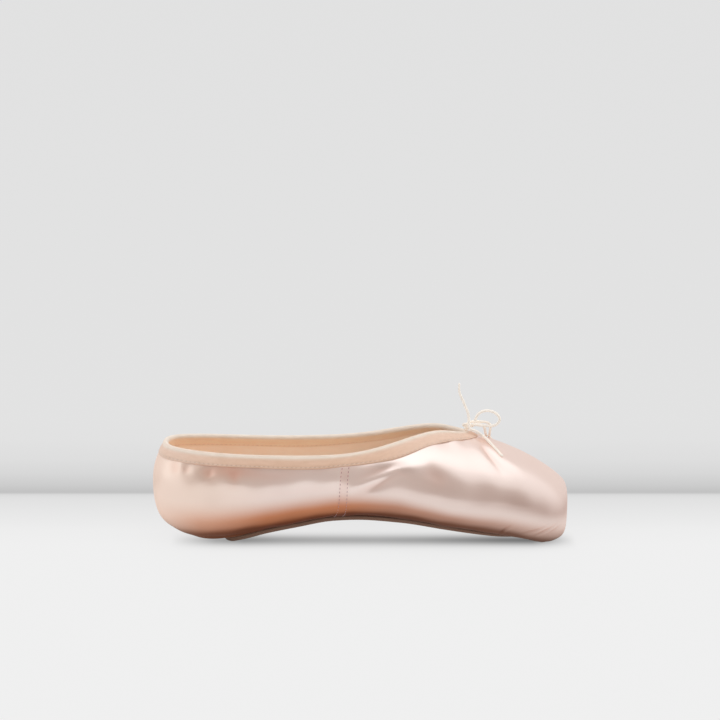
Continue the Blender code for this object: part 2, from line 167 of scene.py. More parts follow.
photo = {
    "lens": 142.2, "sensor": 36, "elevation": math.radians(13.5), "distance": 1.6, "aimHeight": 0.103,
    "nearest": 0.05,
}
studio = {
    "softboxSize": (1.7, 1.0), "softboxHeight": 1.15, "softboxForward": -0.06, "softboxPower": 3.0,
    # The sky's brightness, and the spans over which its dark patch ends on each side, above and behind.
    "skyBack": 0.75, "skySides": 1.10, "skyTurn": (-0.1, 0.6), "skyDark": 0.22, "darkLean": 0.30,
    "darkRight": (1.20, 0.75), "darkLeft": (1.10, 0.60), "darkUp": (0.92, 0.78), "darkBehind": (0.0, -0.15),
    "leastAhead": 0.05,
    "floorReach": 6.0, "floorGlow": 0.93, "floorShare": 0.05,
    # The paper glows with a painted brightness, white near the shoe and grey some way behind it, and darkest
    # as a painted shade where the grey begins: brightness by distance.
    "paperStart": -0.03, "paperEnd": 0.27,
    "paper": ((0.037, 0.880), (0.135, 0.863), (0.270, 0.799), (0.340, 0.761), (0.360, 0.738), (0.373, 0.708),
              (0.382, 0.660), (0.388, 0.560), (0.396, 0.524), (0.447, 0.597), (0.533, 0.679), (0.637, 0.730),
              (0.797, 0.761), (0.963, 0.768)),
    # A thin soft painted shadow lies along the shoe, deepest where the shoe nears the floor: depth by
    # distance.
    "shadowMiddle": -0.0090, "shadowWidth": 0.0105, "shadowStart": -0.12, "shadowStop": 0.13,
    "shadow": ((0.05, 0.0), (0.10, 0.25), (0.152, 0.52), (0.216, 0.65), (0.30, 0.55), (0.40, 0.50),
               (0.52, 0.50), (0.62, 0.56), (0.72, 0.66), (0.80, 0.75), (0.87, 0.78), (0.92, 0.38),
               (0.97, 0.0)),
}


def addObject(name, data):
    thing = bpy.data.objects.new(name, data)
    bpy.context.scene.collection.objects.link(thing)
    return thing


def makeCamera():
    data = bpy.data.cameras.new("photoCamera")
    data.lens = photo["lens"]
    data.sensor_width = photo["sensor"]
    data.clip_start = photo["nearest"]
    camera = addObject("photoCamera", data)
    reach, rise = photo["distance"], photo["elevation"]
    camera.location = (0, -reach * math.cos(rise), photo["aimHeight"] + reach * math.sin(rise))
    camera.rotation_euler = (math.pi / 2 - rise, 0, 0)
    bpy.context.scene.camera = camera


def makeLights():
    data = bpy.data.lights.new("softbox", "AREA")
    data.shape = "RECTANGLE"
    data.size, data.size_y = studio["softboxSize"]
    data.energy = studio["softboxPower"]
    addObject("softbox", data).location = (0, studio["softboxForward"], studio["softboxHeight"])

    world = bpy.data.worlds.new("studioSky")
    bpy.context.scene.world = world
    world.use_nodes = True
    tree = world.node_tree
    number = partial(calculated, tree)
    parts = addNode(tree, "ShaderNodeSeparateXYZ", {"Vector": textureCoordinate(tree, "Generated")})
    x, y, z = (parts.outputs[axis] for axis in "XYZ")
    # The sky is brightest at the sides and has a dark patch ahead, over the camera, that satin shows as a
    # band. The patch is lower on the right.

    def within(value, span):
        return ranged(tree, value, *studio[span], ease="SMOOTHSTEP")

    aside = number("DIVIDE", x, number("MAXIMUM", number("MULTIPLY", y, -1.0), studio["leastAhead"]))
    leaning = number("ADD", z, number("MULTIPLY", number("MAXIMUM", aside, 0.0), studio["darkLean"]))
    patch = number("MULTIPLY", within(aside, "darkRight"),
                   within(number("MULTIPLY", aside, -1.0), "darkLeft"))
    ahead = number("MULTIPLY", within(leaning, "darkUp"), within(y, "darkBehind"))
    patch = number("MULTIPLY", patch, ahead)
    sky = mixed(tree, within(y, "skyTurn"), (studio["skySides"],) * 3, (studio["skyBack"],) * 3)
    sky = mixed(tree, patch, sky, (studio["skyDark"],) * 3)
    tree.links.new(sky, tree.nodes["Background"].inputs["Color"])
    bpy.context.scene.view_settings.view_transform = "Standard"


def makeFloor():
    # The paper glows evenly, which keeps it white beside the shoe, and only a small part of its light comes
    # from the lamps. The painted soft shadow is a bell across Y, and its depth changes along X.
    paper, tree, shader = newMaterial("studioPaper", {
        "Base Color": (*(studio["floorShare"],) * 3, 1), "Roughness": 1.0, "Specular IOR Level": 0.0,
        "Emission Strength": studio["floorGlow"]})
    number = partial(calculated, tree)
    place = addNode(tree, "ShaderNodeSeparateXYZ", {"Vector": textureCoordinate(tree, "Object")}).outputs
    behind = ranged(tree, place["Y"], studio["paperStart"], studio["paperEnd"])
    away = number("DIVIDE", number("SUBTRACT", place["Y"], studio["shadowMiddle"]), studio["shadowWidth"])
    bell = number("EXPONENT", number("MULTIPLY", number("MULTIPLY", away, away), -1.0))
    along = ranged(tree, place["X"], studio["shadowStart"], studio["shadowStop"])
    shade = number("MULTIPLY", bell, greyRamp(tree, along, studio["shadow"]))
    colour = addNode(tree, "ShaderNodeVectorMath", {
        0: greyRamp(tree, behind, studio["paper"]), "Scale": number("SUBTRACT", 1.0, shade)},
        operation="SCALE")
    tree.links.new(colour.outputs[0], shader.inputs["Emission Color"])
    mesh = bpy.data.meshes.new("floor")
    corners = np.array([(-1, -1, 0), (1, -1, 0), (1, 1, 0), (-1, 1, 0)]) * studio["floorReach"]
    mesh.from_pydata(corners.tolist(), [], [(0, 1, 2, 3)])
    mesh.materials.append(paper)
    addObject("floor", mesh)


# Curves

def cubicThrough(knots, values, where):
    # Natural cubic spline through values at the knots: its second derivatives solve a banded system, and
    # each span is a cubic between two values and two second derivatives.
    gap = np.diff(knots)
    system = (np.diag(np.r_[1, 2 * (gap[1:] + gap[:-1]), 1]) + np.diag(np.r_[0, gap[1:]], 1)
              + np.diag(np.r_[gap[:-1], 0], -1))
    right = np.zeros(values.shape)
    right[1:-1] = 6 * np.diff(np.diff(values, axis=0) / gap[:, None], axis=0)
    bend = np.linalg.solve(system, right)
    span = np.clip(np.searchsorted(knots, where, side="right") - 1, 0, len(gap) - 1)
    size = gap[span][:, None]
    after = (where - knots[span])[:, None] / size
    before = 1 - after
    return (before * values[span] + after * values[span + 1]
            + ((before ** 3 - before) * bend[span] + (after ** 3 - after) * bend[span + 1]) * size ** 2 / 6)


def levelCurve(tableX, tableY, x):
    # Cubic Hermite curve through a table, with slopes limited to the harmonic mean so it never overshoots.
    gap = np.diff(tableX)
    chord = np.diff(tableY) / gap
    sameWay = chord[:-1] * chord[1:] > 0
    mean = 2 * chord[:-1] * chord[1:] / np.where(sameWay, chord[:-1] + chord[1:], 1)
    slope = np.r_[0, np.where(sameWay, mean, 0), 0]
    span = np.clip(np.searchsorted(tableX, x, side="right") - 1, 0, len(gap) - 1)
    s = np.clip((x - tableX[span]) / gap[span], 0, 1)
    return ((1 + 2 * s) * (1 - s) ** 2 * tableY[span] + s * (1 - s) ** 2 * gap[span] * slope[span]
            + s ** 2 * (3 - 2 * s) * tableY[span + 1] - s ** 2 * (1 - s) * gap[span] * slope[span + 1])


def softStep(share):
    share = np.clip(share, 0, 1)
    return share * share * (3 - 2 * share)


def bump(distance, width):
    return np.exp(-(distance / width) ** 2)


def unit(vectors):
    return vectors / np.linalg.norm(vectors, axis=-1)[..., None]


def distancesAlong(points):
    return np.r_[0, np.cumsum(np.linalg.norm(np.diff(points, axis=0), axis=1))]


def depthsDown(points):
    # Distance down each column of points from its first row.
    steps = np.linalg.norm(np.diff(points, axis=1), axis=2)
    return np.concatenate([np.zeros((len(points), 1)), np.cumsum(steps, axis=1)], axis=1)


def smoothPath(route, step):
    # A route's points, given in millimetres, joined by one smooth curve that is read every step along it.
    route = np.array(route) / 1000
    knots = distancesAlong(route)
    return cubicThrough(knots, route, np.linspace(0, knots[-1], int(knots[-1] / step) + 1))


# The upper's outer surface

def soleDepth(x):
    return levelCurve(soleProfile[:, 0] * shoe["length"], soleProfile[:, 2] * shoe["soleThickness"], x)


def seat(x):
    # Height of the upper's outside where the sole lies against it, and of the heel and toe beyond.
    along = soleProfile[:, 0] * shoe["length"]
    bed = soleProfile[:, 1] * shoe["archRise"] + soleDepth(along) + shoe["seatGap"]
    along = np.r_[0, along, shoe["toeRestStart"] * shoe["length"], shoe["length"]]
    return levelCurve(along, np.r_[bed[0], bed, 0, 0], np.asarray(x, float))


def insetOutline(outline, distance):
    # Moves a half outline inwards, square to itself, with its ends kept on the middle plane.
    mirrored = np.vstack([outline[1] * (1, -1), outline, outline[-2] * (1, -1)])
    along = mirrored[2:] - mirrored[:-2]
    moved = outline + unit(np.column_stack([along[:, 1], -along[:, 0]])) * distance
    moved[[0, -1], 1] = 0
    return moved


def wallLines():
    # The seven lines round the half shoe that the wall passes through: ten points on each.
    table = {name: np.array([row[1 + number] for row in sections.values()])
             for number, name in enumerate(sectionFields)}
    span = np.array([shoe[row[0]] / 2 for row in sections.values()])
    rise = shoe["throatHeight"] - shoe["heelHeight"]
    top = np.column_stack([table["topX"] * shoe["length"], table["topY"] * span,
                           shoe["heelHeight"] + table["topRise"] * rise])
    sideX = table["sideX"] * shoe["length"]
    side = np.column_stack([sideX, table["sideY"] * span,
                            seat(sideX) + table["level"] * (top[:, 2] - seat(sideX))])
    turnX = table["turnX"] * shoe["length"]
    turn = np.column_stack([turnX, table["turnY"] * span, seat(turnX) + table["lift"] * span])
    shoulder = top + (side - top) * table["out"][:, None]
    shoulder[:, 2] = side[:, 2] + table["up"] * (top[:, 2] - side[:, 2])
    low = turn + (side - turn) * table["low"][:, None]
    low[:, 2] = side[:, 2] + table["low"] * (turn[:, 2] - side[:, 2])
    edge = np.column_stack([table["soleX"] * shoe["length"], table["soleY"] * shoe["soleWidth"] / 2])
    flat = [np.column_stack([line, seat(line[:, 0])])
            for line in (edge, insetOutline(edge, shoe["marginWidth"]))]
    return np.stack([top, shoulder, side, low, turn, *flat], axis=1), table["tape"]


lines, tapeShares = wallLines()
knots = distancesAlong(lines[:, shoe["sideLine"]])  # distance round the shoe at each section


def outerSurface(around, down):
    # Half of the upper's outside. around counts sections from the heel and down counts lines from the
    # topline. Each section is a spline through its seven points, and splines round the shoe join them.
    soleLine = shoe["soleLine"]
    rows = np.append(down, soleLine)
    chords = [distancesAlong(points) for points in lines]
    ribs = np.array([cubicThrough(chord, points, np.interp(rows, np.arange(7), chord))
                     for chord, points in zip(chords, lines)])
    otherSide = ribs * (1, -1, 1)
    ribs = np.concatenate([otherSide[3:0:-1], ribs, otherSide[-2:-5:-1]])
    allKnots = np.r_[-knots[3:0:-1], knots, 2 * knots[-1] - knots[-2:-5:-1]]
    where = np.interp(around, sectionPlaces, knots)
    points = cubicThrough(allKnots, ribs.reshape(len(ribs), -1), where).reshape(len(where), len(rows), 3)
    points, edge = points[:, :-1], points[:, -1]
    error = seat(edge[:, 0]) - edge[:, 2]
    points[..., 2] += error[:, None] * softStep((down - shoe["sideLine"]) / (soleLine - shoe["sideLine"]))
    points[..., 2] = np.where(down >= soleLine, seat(points[..., 0]), points[..., 2])
    # The toe tip is flattened to its platform and the toe's underside to the floor.
    facing = np.array([math.cos(shoe["platformTilt"]), 0, -math.sin(shoe["platformTilt"])])
    beyond = (points - (shoe["length"], 0, shoe["platformHeight"])) @ facing
    reach = shoe["platformRound"]
    corner = np.where(beyond >= reach, beyond, (beyond + reach) ** 2 / (4 * reach))
    corner = np.where(beyond <= -reach, 0, corner)
    points -= corner[..., None] * facing
    points[..., 2] = np.maximum(points[..., 2], 0)
    return points


reachX = outerSurface(np.linspace(0, lastSection, 73), np.linspace(0, 6, 61))[..., 0]
centreX = (reachX.min() + reachX.max()) / 2


def fullSurface(ring, down):
    # Both sides: ring runs from the toe tip, -9, over the back of the heel, 0, back to the toe tip, 9.
    points = outerSurface(np.abs(ring), down)
    points[..., 1] *= np.where(ring < 0, -1, 1)[:, None]
    return points - (centreX, 0, 0)


def outward(points):
    # Unit normals of a closed ring of columns: the direction round it crossed with the direction down it.
    along = np.roll(points, -1, axis=0) - np.roll(points, 1, axis=0)
    return unit(np.cross(along, np.gradient(points, axis=1)))


def columnAt(distances, points):
    # For each column, the points at its row of distances down the wall from the topline. Each point lies
    # between the two rows of the column that are nearest to its distance.
    length = depthsDown(points)
    after = (length[:, None, :] <= distances[:, :, None]).sum(axis=2).clip(1, length.shape[1] - 1)
    column = np.arange(len(points))[:, None]
    low, high = length[column, after - 1], length[column, after]
    share = ((distances - low) / (high - low))[..., None]
    return points[column, after - 1] * (1 - share) + points[column, after] * share


def ringStops(spacing):
    # Columns round the whole shoe, closer where the spacing table says. It is read by distance round the
    # half shoe, and both halves get the same columns.
    fine = np.linspace(0, knots[-1], 4000)
    density = 1 / np.interp(fine, knots, np.asarray(spacing))
    total = np.r_[0, np.cumsum((density[1:] + density[:-1]) / 2 * np.diff(fine))]
    distance = np.interp(np.linspace(0, total[-1], int(round(total[-1])) + 1), total, fine)
    half = np.interp(distance, knots, sectionPlaces)
    return np.r_[-half[:0:-1], half[:-1]], np.r_[-distance[:0:-1], distance[:-1]]


def wallAt(points):
    # Quarters are satin and lining. The box is stiffened: its wall thickens over the instep.
    share = softStep(((points[..., 0] + centreX) / shoe["length"] - shoe["boxStart"]) / shoe["boxReach"])
    depth = np.clip((shoe["throatHeight"] - points[..., 2]) / shoe["boxDepth"], 0, 1)
    return shoe["quarterWall"] + (shoe["boxWall"] - shoe["quarterWall"]) * share * depth


# Meshes

def addPiece(name, points, faces, material, uv=None):
    mesh = bpy.data.meshes.new(name)
    mesh.from_pydata(points.reshape(-1, 3).tolist(), [], faces.tolist())
    mesh.shade_smooth()
    if uv is not None:
        layer = mesh.uv_layers.new(name="clothMap")
        layer.data.foreach_set("uv", uv.astype(np.float32).ravel())
    mesh.materials.append(material)
    piece = addObject(name, mesh)
    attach(piece, "root")
    return piece


def gridFaces(columns, rows, closed):
    # Quads between neighbouring points, numbered column by column. A closed ring joins its ends.
    column = np.arange(columns if closed else columns - 1)[:, None]
    row = np.arange(rows - 1)[None, :]
    after = (column + 1) % columns
    return np.stack([column * rows + row, after * rows + row, after * rows + row + 1,
                     column * rows + row + 1], axis=-1).reshape(-1, 4)


def gridUV(u, v):
    # Texture places of each quad's corners. u is one value for each column and v one for each point, or
    # one row for all columns. A closed ring's first column comes again at its end.
    u, v = np.broadcast_arrays(u[:, None], v)
    low, high = slice(None, -1), slice(1, None)
    corners = [np.stack([u[column, row], v[column, row]], axis=-1)
               for column, row in ((low, low), (high, low), (high, high), (low, high))]
    return np.stack(corners, axis=2).reshape(-1, 2)


def ringPiece(name, points, u, v, material):
    # A closed ring of columns with its cloth map.
    columns, rows = points.shape[:2]
    uv = gridUV(u, np.vstack([v, v[:1]]))
    return addPiece(name, points, gridFaces(columns, rows, True), material, uv)


def paintPoints(piece, name, values):
    # The piece's own attribute: a colour or a number for each point.
    values = np.asarray(values, np.float32)
    if values.ndim == 3:
        attribute = piece.data.attributes.new(name, "FLOAT_COLOR", "POINT")
        colour = np.concatenate([values, np.ones_like(values[..., :1])], axis=-1)
        attribute.data.foreach_set("color", colour.ravel())
    else:
        attribute = piece.data.attributes.new(name, "FLOAT", "POINT")
        attribute.data.foreach_set("value", values.ravel())


poleReach = 0.000002  # the points of a closed pole lie nearer together than this


def weld(piece, reach):
    # Joins points that lie within reach of each other, as those of a ring that has shrunk to nothing do.
    piece.modifiers.new("joined", "WELD").merge_threshold = reach


fixedLine = (0.30, 0.94, 0.12)  # a direction that no cord runs in


def tubeAlong(path, radii, sides):
    # A round profile carried along a path. Its frame is the path's direction crossed with a fixed line.
    direction = unit(np.gradient(path, axis=0))
    first = unit(np.cross(direction, fixedLine))
    second = np.cross(direction, first)
    turn = np.linspace(0, 2 * math.pi, sides, endpoint=False)[None, :, None]
    ring = first[:, None] * np.cos(turn) + second[:, None] * np.sin(turn)
    return path[:, None] + ring * radii[:, None, None]


def tubeFaces(rings, sides, closed):
    # Faces of a tube: those of a grid, then the strip that joins its last side to its first.
    last = np.arange(rings if closed else rings - 1) * sides + sides - 1
    after = (last + sides) % (rings * sides)
    strip = np.column_stack([last, after, after - sides + 1, last - sides + 1])
    return np.concatenate([gridFaces(rings, sides, closed), strip])


# Materials

# Each finish has its colours, the repeats of its patterns in a metre, how deep its bump is, and the even
# values of its shader's sockets.
finish = {
    "satin": {"colour": (0.88, 0.60, 0.49), "light": (0.91, 0.65, 0.54), "float": (0.84, 0.51, 0.42),
              "floatRepeats": (900, 160), "floatDetail": 2.0, "floatShare": 0.22,
              "patchRepeats": (38, 60), "patchDetail": 1.5,
              "sockets": {"Roughness": 0.29, "Metallic": 0.05, "IOR": 2.6, "Specular IOR Level": 1.0,
                          "Anisotropic": 0.35, "Sheen Weight": 0.12, "Sheen Roughness": 0.35,
                          "Sheen Tint": (1.0, 0.88, 0.84, 1)}},
    # The tape's pale fold is a painted highlight, and its brighter inside is painted light.
    "tape": {"colour": (1.0, 1.0, 1.0), "dark": (0.84, 0.78, 0.72), "repeats": 3600, "bump": 0.35,
             "heel": (0.93, 0.69, 0.56), "outside": (0.86, 0.59, 0.44), "throat": (0.94, 0.68, 0.54),
             "inside": (1.1, 0.88, 0.68), "fold": (1.0, 0.90, 0.80), "sockets": {"Roughness": 0.78}},
    # The lining glows a little: painted light.
    "lining": {"colour": (1.0, 0.84, 0.69), "dark": (1.0, 0.75, 0.57), "repeats": 3000, "bump": 0.35,
               "sockets": {"Roughness": 0.85, "Emission Color": (1.0, 0.86, 0.76, 1),
                           "Emission Strength": 0.06}},
    "insole": {"colour": (0.94, 0.85, 0.75), "dark": (0.84, 0.72, 0.60), "repeats": 2600, "bump": 0.30,
               "sockets": {"Roughness": 0.85}},
    # What all the threads have in common, and all the woven cloths.
    "anyThread": {"fibreScale": 5000.0, "fibreDetail": 2.0,
                  "sockets": {"Roughness": 0.55, "Sheen Weight": 0.2}},
    "woven": {"waveScale": 0.16, "waveDistortion": 0.5, "gapShare": 0.35, "yarnRepeats": (150, 420),
              "yarnDetail": 4.0, "yarnRange": (0.35, 0.7), "yarnShare": 0.35, "bumpDepth": 0.0002,
              "sockets": {"Specular IOR Level": 0.35, "Sheen Weight": 0.25, "Sheen Roughness": 0.5}},
    "leather": {"colour": (0.125, 0.058, 0.036), "light": (0.25, 0.14, 0.095),
                "rubbedScale": 70.0, "rubbedDetail": 5.0, "rubbedRange": (0.38, 0.68), "rubbedShare": 0.55,
                "napScale": 2600.0, "napDetail": 3.0, "napRange": (0.35, 0.7), "napShare": 0.3,
                "bump": 0.35, "bumpDepth": 0.0002,
                "sockets": {"Roughness": 0.75, "Specular IOR Level": 0.25, "Sheen Weight": 0.08,
                            "Sheen Roughness": 0.6}},
    # The cord glows a little: painted light.
    "cord": {"colour": (1.0, 0.95, 0.87), "dark": (1.0, 0.88, 0.77), "braidTurns": 520.0,
             "braidStrands": 3.0, "braidShare": 0.8, "bump": 0.25, "bumpDepth": 0.00015,
             "sockets": {"Roughness": 0.70, "Sheen Weight": 0.3, "Emission Color": (1.0, 0.88, 0.78, 1),
                         "Emission Strength": 0.07}},
    "thread": {"colour": (0.84, 0.62, 0.52), "light": (0.90, 0.72, 0.62)},
    "seamThread": {"colour": (0.42, 0.24, 0.25), "light": (0.52, 0.32, 0.32)},
}


def clothPlace(tree, across, down):
    # The piece's own cloth map, scaled so that one unit is one repeat: across and down are repeats a metre.
    return addNode(tree, "ShaderNodeMapping", {
        "Vector": textureCoordinate(tree, "UV"), "Scale": (across, down, 1)}).outputs["Vector"]


def setBump(tree, shader, height, strength, distance):
    normal = addNode(tree, "ShaderNodeBump", {"Height": height, "Strength": strength, "Distance": distance})
    tree.links.new(normal.outputs["Normal"], shader.inputs["Normal"])


def makeSatin():
    # Satin: its long threads give fine streaks down the shoe, over a slow unevenness of the weave. The
    # piece's own attribute "tone", which holds painted shade and light, multiplies the colour and tints the
    # reflection.
    look = finish["satin"]
    material, tree, shader = newMaterial("satin", look["sockets"])
    floats = noise(tree, clothPlace(tree, *look["floatRepeats"]), look["floatDetail"])
    slow = noise(tree, clothPlace(tree, *look["patchRepeats"]), look["patchDetail"])
    patches = mixed(tree, slow, look["colour"], look["light"])
    uneven = mixed(tree, ranged(tree, floats, 0.0, 1.0, 0.0, look["floatShare"]), patches, look["float"])
    tone = painted(tree, "tone", "Color")
    tree.links.new(multiplied(tree, uneven, tone), shader.inputs["Base Color"])
    tree.links.new(tone, shader.inputs["Specular Tint"])
    return material


def makeWoven(name, look, toned=False):
    # Plain woven cotton: warp and weft are two crossing rows of soft ridges, with uneven yarn. Where it is
    # toned, the piece's attribute "tone" multiplies the colour.
    weave = finish["woven"]
    material, tree, shader = newMaterial(name, {**weave["sockets"], **look["sockets"]})
    place = clothPlace(tree, look["repeats"], look["repeats"])
    warp, weft = (addNode(tree, "ShaderNodeTexWave", {
        "Vector": place, "Scale": weave["waveScale"], "Distortion": weave["waveDistortion"], "Detail": 1.0},
        bands_direction=axis).outputs["Fac"] for axis in "XY")
    ridges = calculated(tree, "MULTIPLY", warp, weft)
    yarn = noise(tree, clothPlace(tree, *weave["yarnRepeats"]), weave["yarnDetail"])
    darker = calculated(tree, "ADD", ranged(tree, ridges, 0.0, 1.0, weave["gapShare"], 0.0),
                        ranged(tree, yarn, *weave["yarnRange"], 0.0, weave["yarnShare"]))
    colour = mixed(tree, darker, look["colour"], look["dark"])
    if toned:
        colour = multiplied(tree, colour, painted(tree, "tone", "Color"))
    tree.links.new(colour, shader.inputs["Base Color"])
    setBump(tree, shader, ridges, look["bump"], weave["bumpDepth"])
    return material


def makeLeather():
    # Suede split: a fine nap, slow patches where it is rubbed, and a light skived edge from "edge".
    look = finish["leather"]
    material, tree, shader = newMaterial("soleLeather", look["sockets"])
    place = textureCoordinate(tree, "Object")
    nap = noise(tree, place, look["napDetail"], look["napScale"])
    patch = noise(tree, place, look["rubbedDetail"], look["rubbedScale"])
    rubbed = ranged(tree, patch, *look["rubbedRange"], 0.0, look["rubbedShare"])
    worn = mixed(tree, rubbed, look["colour"], look["light"])
    skived = mixed(tree, painted(tree, "edge", "Fac"), worn, look["light"])
    dusty = mixed(tree, ranged(tree, nap, *look["napRange"], 0.0, look["napShare"]), skived, look["colour"])
    tree.links.new(dusty, shader.inputs["Base Color"])
    setBump(tree, shader, nap, look["bump"], look["bumpDepth"])
    return material


def makeCordCotton():
    # Braid: two sets of strands wind round the cord in opposite ways and cross in small diamonds.
    look = finish["cord"]
    material, tree, shader = newMaterial("drawstringCotton", look["sockets"])
    waves = []
    for lean in (1, -1):
        slanted = addNode(tree, "ShaderNodeVectorMath", {
            0: textureCoordinate(tree, "UV"), 1: (look["braidTurns"], look["braidStrands"] * lean, 0.0)},
            operation="DOT_PRODUCT").outputs["Value"]
        waves.append(calculated(tree, "SINE", calculated(tree, "MULTIPLY", slanted, 2 * math.pi)))
    braid = calculated(tree, "MULTIPLY", *waves)
    darker = ranged(tree, braid, -1.0, 1.0, look["braidShare"], 0.0)
    tree.links.new(mixed(tree, darker, look["colour"], look["dark"]), shader.inputs["Base Color"])
    setBump(tree, shader, braid, look["bump"], look["bumpDepth"])
    return material


def makeThread(name):
    look, common = finish[name], finish["anyThread"]
    material, tree, shader = newMaterial(name, common["sockets"])
    fibre = noise(tree, textureCoordinate(tree, "Object"), common["fibreDetail"], common["fibreScale"])
    tree.links.new(mixed(tree, fibre, look["colour"], look["light"]), shader.inputs["Base Color"])
    return material


satin, cordCotton, leather = makeSatin(), makeCordCotton(), makeLeather()
thread, seamThread = makeThread("thread"), makeThread("seamThread")
tape = makeWoven("bindingTape", finish["tape"], toned=True)
liningCotton = makeWoven("liningCotton", finish["lining"])
insoleCotton = makeWoven("insoleCotton", finish["insole"])


# Drawstring

drawstring = {
    "diameter": 0.0015, "step": 0.00035, "sides": 14, "taper": 0.012, "narrowing": 0.25,
    "knotCentre": (0.0605, 0.0, 0.0647), "knotStrand": 0.00076, "knotReach": (0.00180, 0.00082, 0.00150),
    "knotSides": 16, "knotPoints": 160, "trefoilReach": 2.6,
    # The points that each length of cord runs through, in millimetres.
    "ends": [(56, 0, 89.8), (55.9, 0, 87.1), (56.2, -0.2, 84.2), (57, -0.4, 82), (58, -0.5, 79.9),
        (59.8, -0.9, 75.5), (61.2, -1.4, 71.7), (61.5, -2, 68.6), (61.3, -2.6, 66.4), (61.4, -2.9, 64.9),
        (62.2, -2.9, 63.7), (63.6, -2.8, 63), (65, -2.7, 62.6), (67.2, -2.7, 61.2), (69.4, -3.2, 59.7),
        (72.2, -6, 57.8), (75, -10, 55.5), (77.2, -13, 53.8), (79, -15.3, 52.1), (80.3, -16.3, 51.3)],
    "loop": [(63, 1, 63.9), (64.1, 1, 64.9), (64.9, 0.9, 66.7), (65.5, 0.8, 68.8), (66.7, 0.5, 71.2),
        (69.1, 0.2, 73), (72.3, 0, 73.6), (75.7, -0.2, 72.7), (78.2, -0.4, 70.7), (79, -0.5, 68.7),
        (78.1, -0.6, 66.6), (75.8, -0.7, 65.1), (72.2, -0.8, 64.9), (68.5, -0.9, 65.2),
        (65.8, -0.9, 65.5), (63, -0.9, 65.4)],
    "smallLoop": [(62.5, 2.5, 64.1), (64.5, 2.8, 64.5), (67.4, 3, 64.7), (69.7, 3.5, 63.9),
        (70.8, 4.5, 61.9), (71.2, 6.3, 59.5), (71.6, 8.6, 57.5), (72, 11, 56.6), (72.1, 13.5, 55.6),
        (71.5, 16, 54.5), (70.4, 18.5, 53.4), (70, 20.8, 52), (71.1, 23.2, 49.9), (73, 24.2, 48.5),
        (74.9, 23.2, 48.6), (75.9, 20.8, 50.2), (75.4, 18.5, 52), (74.3, 16, 53.8), (73.8, 13.5, 55.1),
        (73.7, 11, 56.1), (73.7, 8.6, 56.9), (73.8, 6.6, 59.2), (74, 5.3, 61.6), (74, 4.9, 63.9),
        (72.4, 4.8, 65.3), (69, 4.7, 65.9), (65.6, 4.4, 66.2), (63, 3.2, 66.3), (61.6, 2.3, 66.2)],
}


def tubePiece(name, path, radii, sides, closed):
    # A tube whose ends, unless it is closed, are rounded off by rings that shrink to a point.
    along = distancesAlong(np.vstack([path, path[:1]]) if closed else path)
    turn = np.arange(sides + 1) / sides
    uv = np.concatenate([gridUV(along, turn[:-1]), gridUV(along, turn[-2:])])
    # Each face's points are taken the other way round, so that it looks outwards.
    piece = addPiece(name, tubeAlong(path, radii, sides), tubeFaces(len(path), sides, closed)[:, ::-1],
                     cordCotton, uv.reshape(-1, 4, 2)[:, ::-1])
    if not closed:
        weld(piece, poleReach)
    return piece


def roundedEnds(along, radius):
    # Radii at distances along a cord that fall to nothing at each end, as a circle's edge does.
    near = np.minimum(along, along[-1] - along)
    return radius * np.sqrt(1 - (1 - np.clip(near / radius, 0, 1)) ** 2)


def makeCord(name, node, route, narrowing=0.0, onIt=()):
    # A length of the drawstring. onIt is not used, and narrowing thins its first end.
    path = smoothPath(route, drawstring["step"])
    along = distancesAlong(path)
    radii = roundedEnds(along, drawstring["diameter"] / 2)
    radii *= 1 - narrowing * softStep(1 - along / drawstring["taper"])
    cord = tubePiece(name, path, radii, drawstring["sides"], False)
    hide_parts(node)


def makeKnot():
    # Three overlapping turns of the cord along a trefoil's line, which is sines and cosines of one, two and
    # three times the turn.
    turn = np.linspace(0, 2 * math.pi, drawstring["knotPoints"], endpoint=False)
    reach = drawstring["trefoilReach"]
    trefoil = np.column_stack([(np.sin(turn) + 2 * np.sin(2 * turn)) / reach, -np.sin(3 * turn),
                               (np.cos(turn) - 2 * np.cos(2 * turn)) / reach])
    path = np.array(drawstring["knotCentre"]) + trefoil * drawstring["knotReach"]
    radii = np.full(len(path), drawstring["knotStrand"])
    knot = tubePiece("drawstringKnot", path, radii, drawstring["knotSides"], True)
    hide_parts("drawstring_knot")
    return knot


print("stage: camera, lights and floor")
makeCamera()
makeLights()
makeFloor()
print("stage: drawstring")
makeCord("drawstringEnds", "drawstring_ends", drawstring["ends"],
         narrowing=drawstring["narrowing"], onIt=[makeKnot()])
makeCord("drawstringLoop", "drawstring_loop", drawstring["loop"])
makeCord("drawstringSmallLoop", "drawstring_small_loop", drawstring["smallLoop"])


# Upper

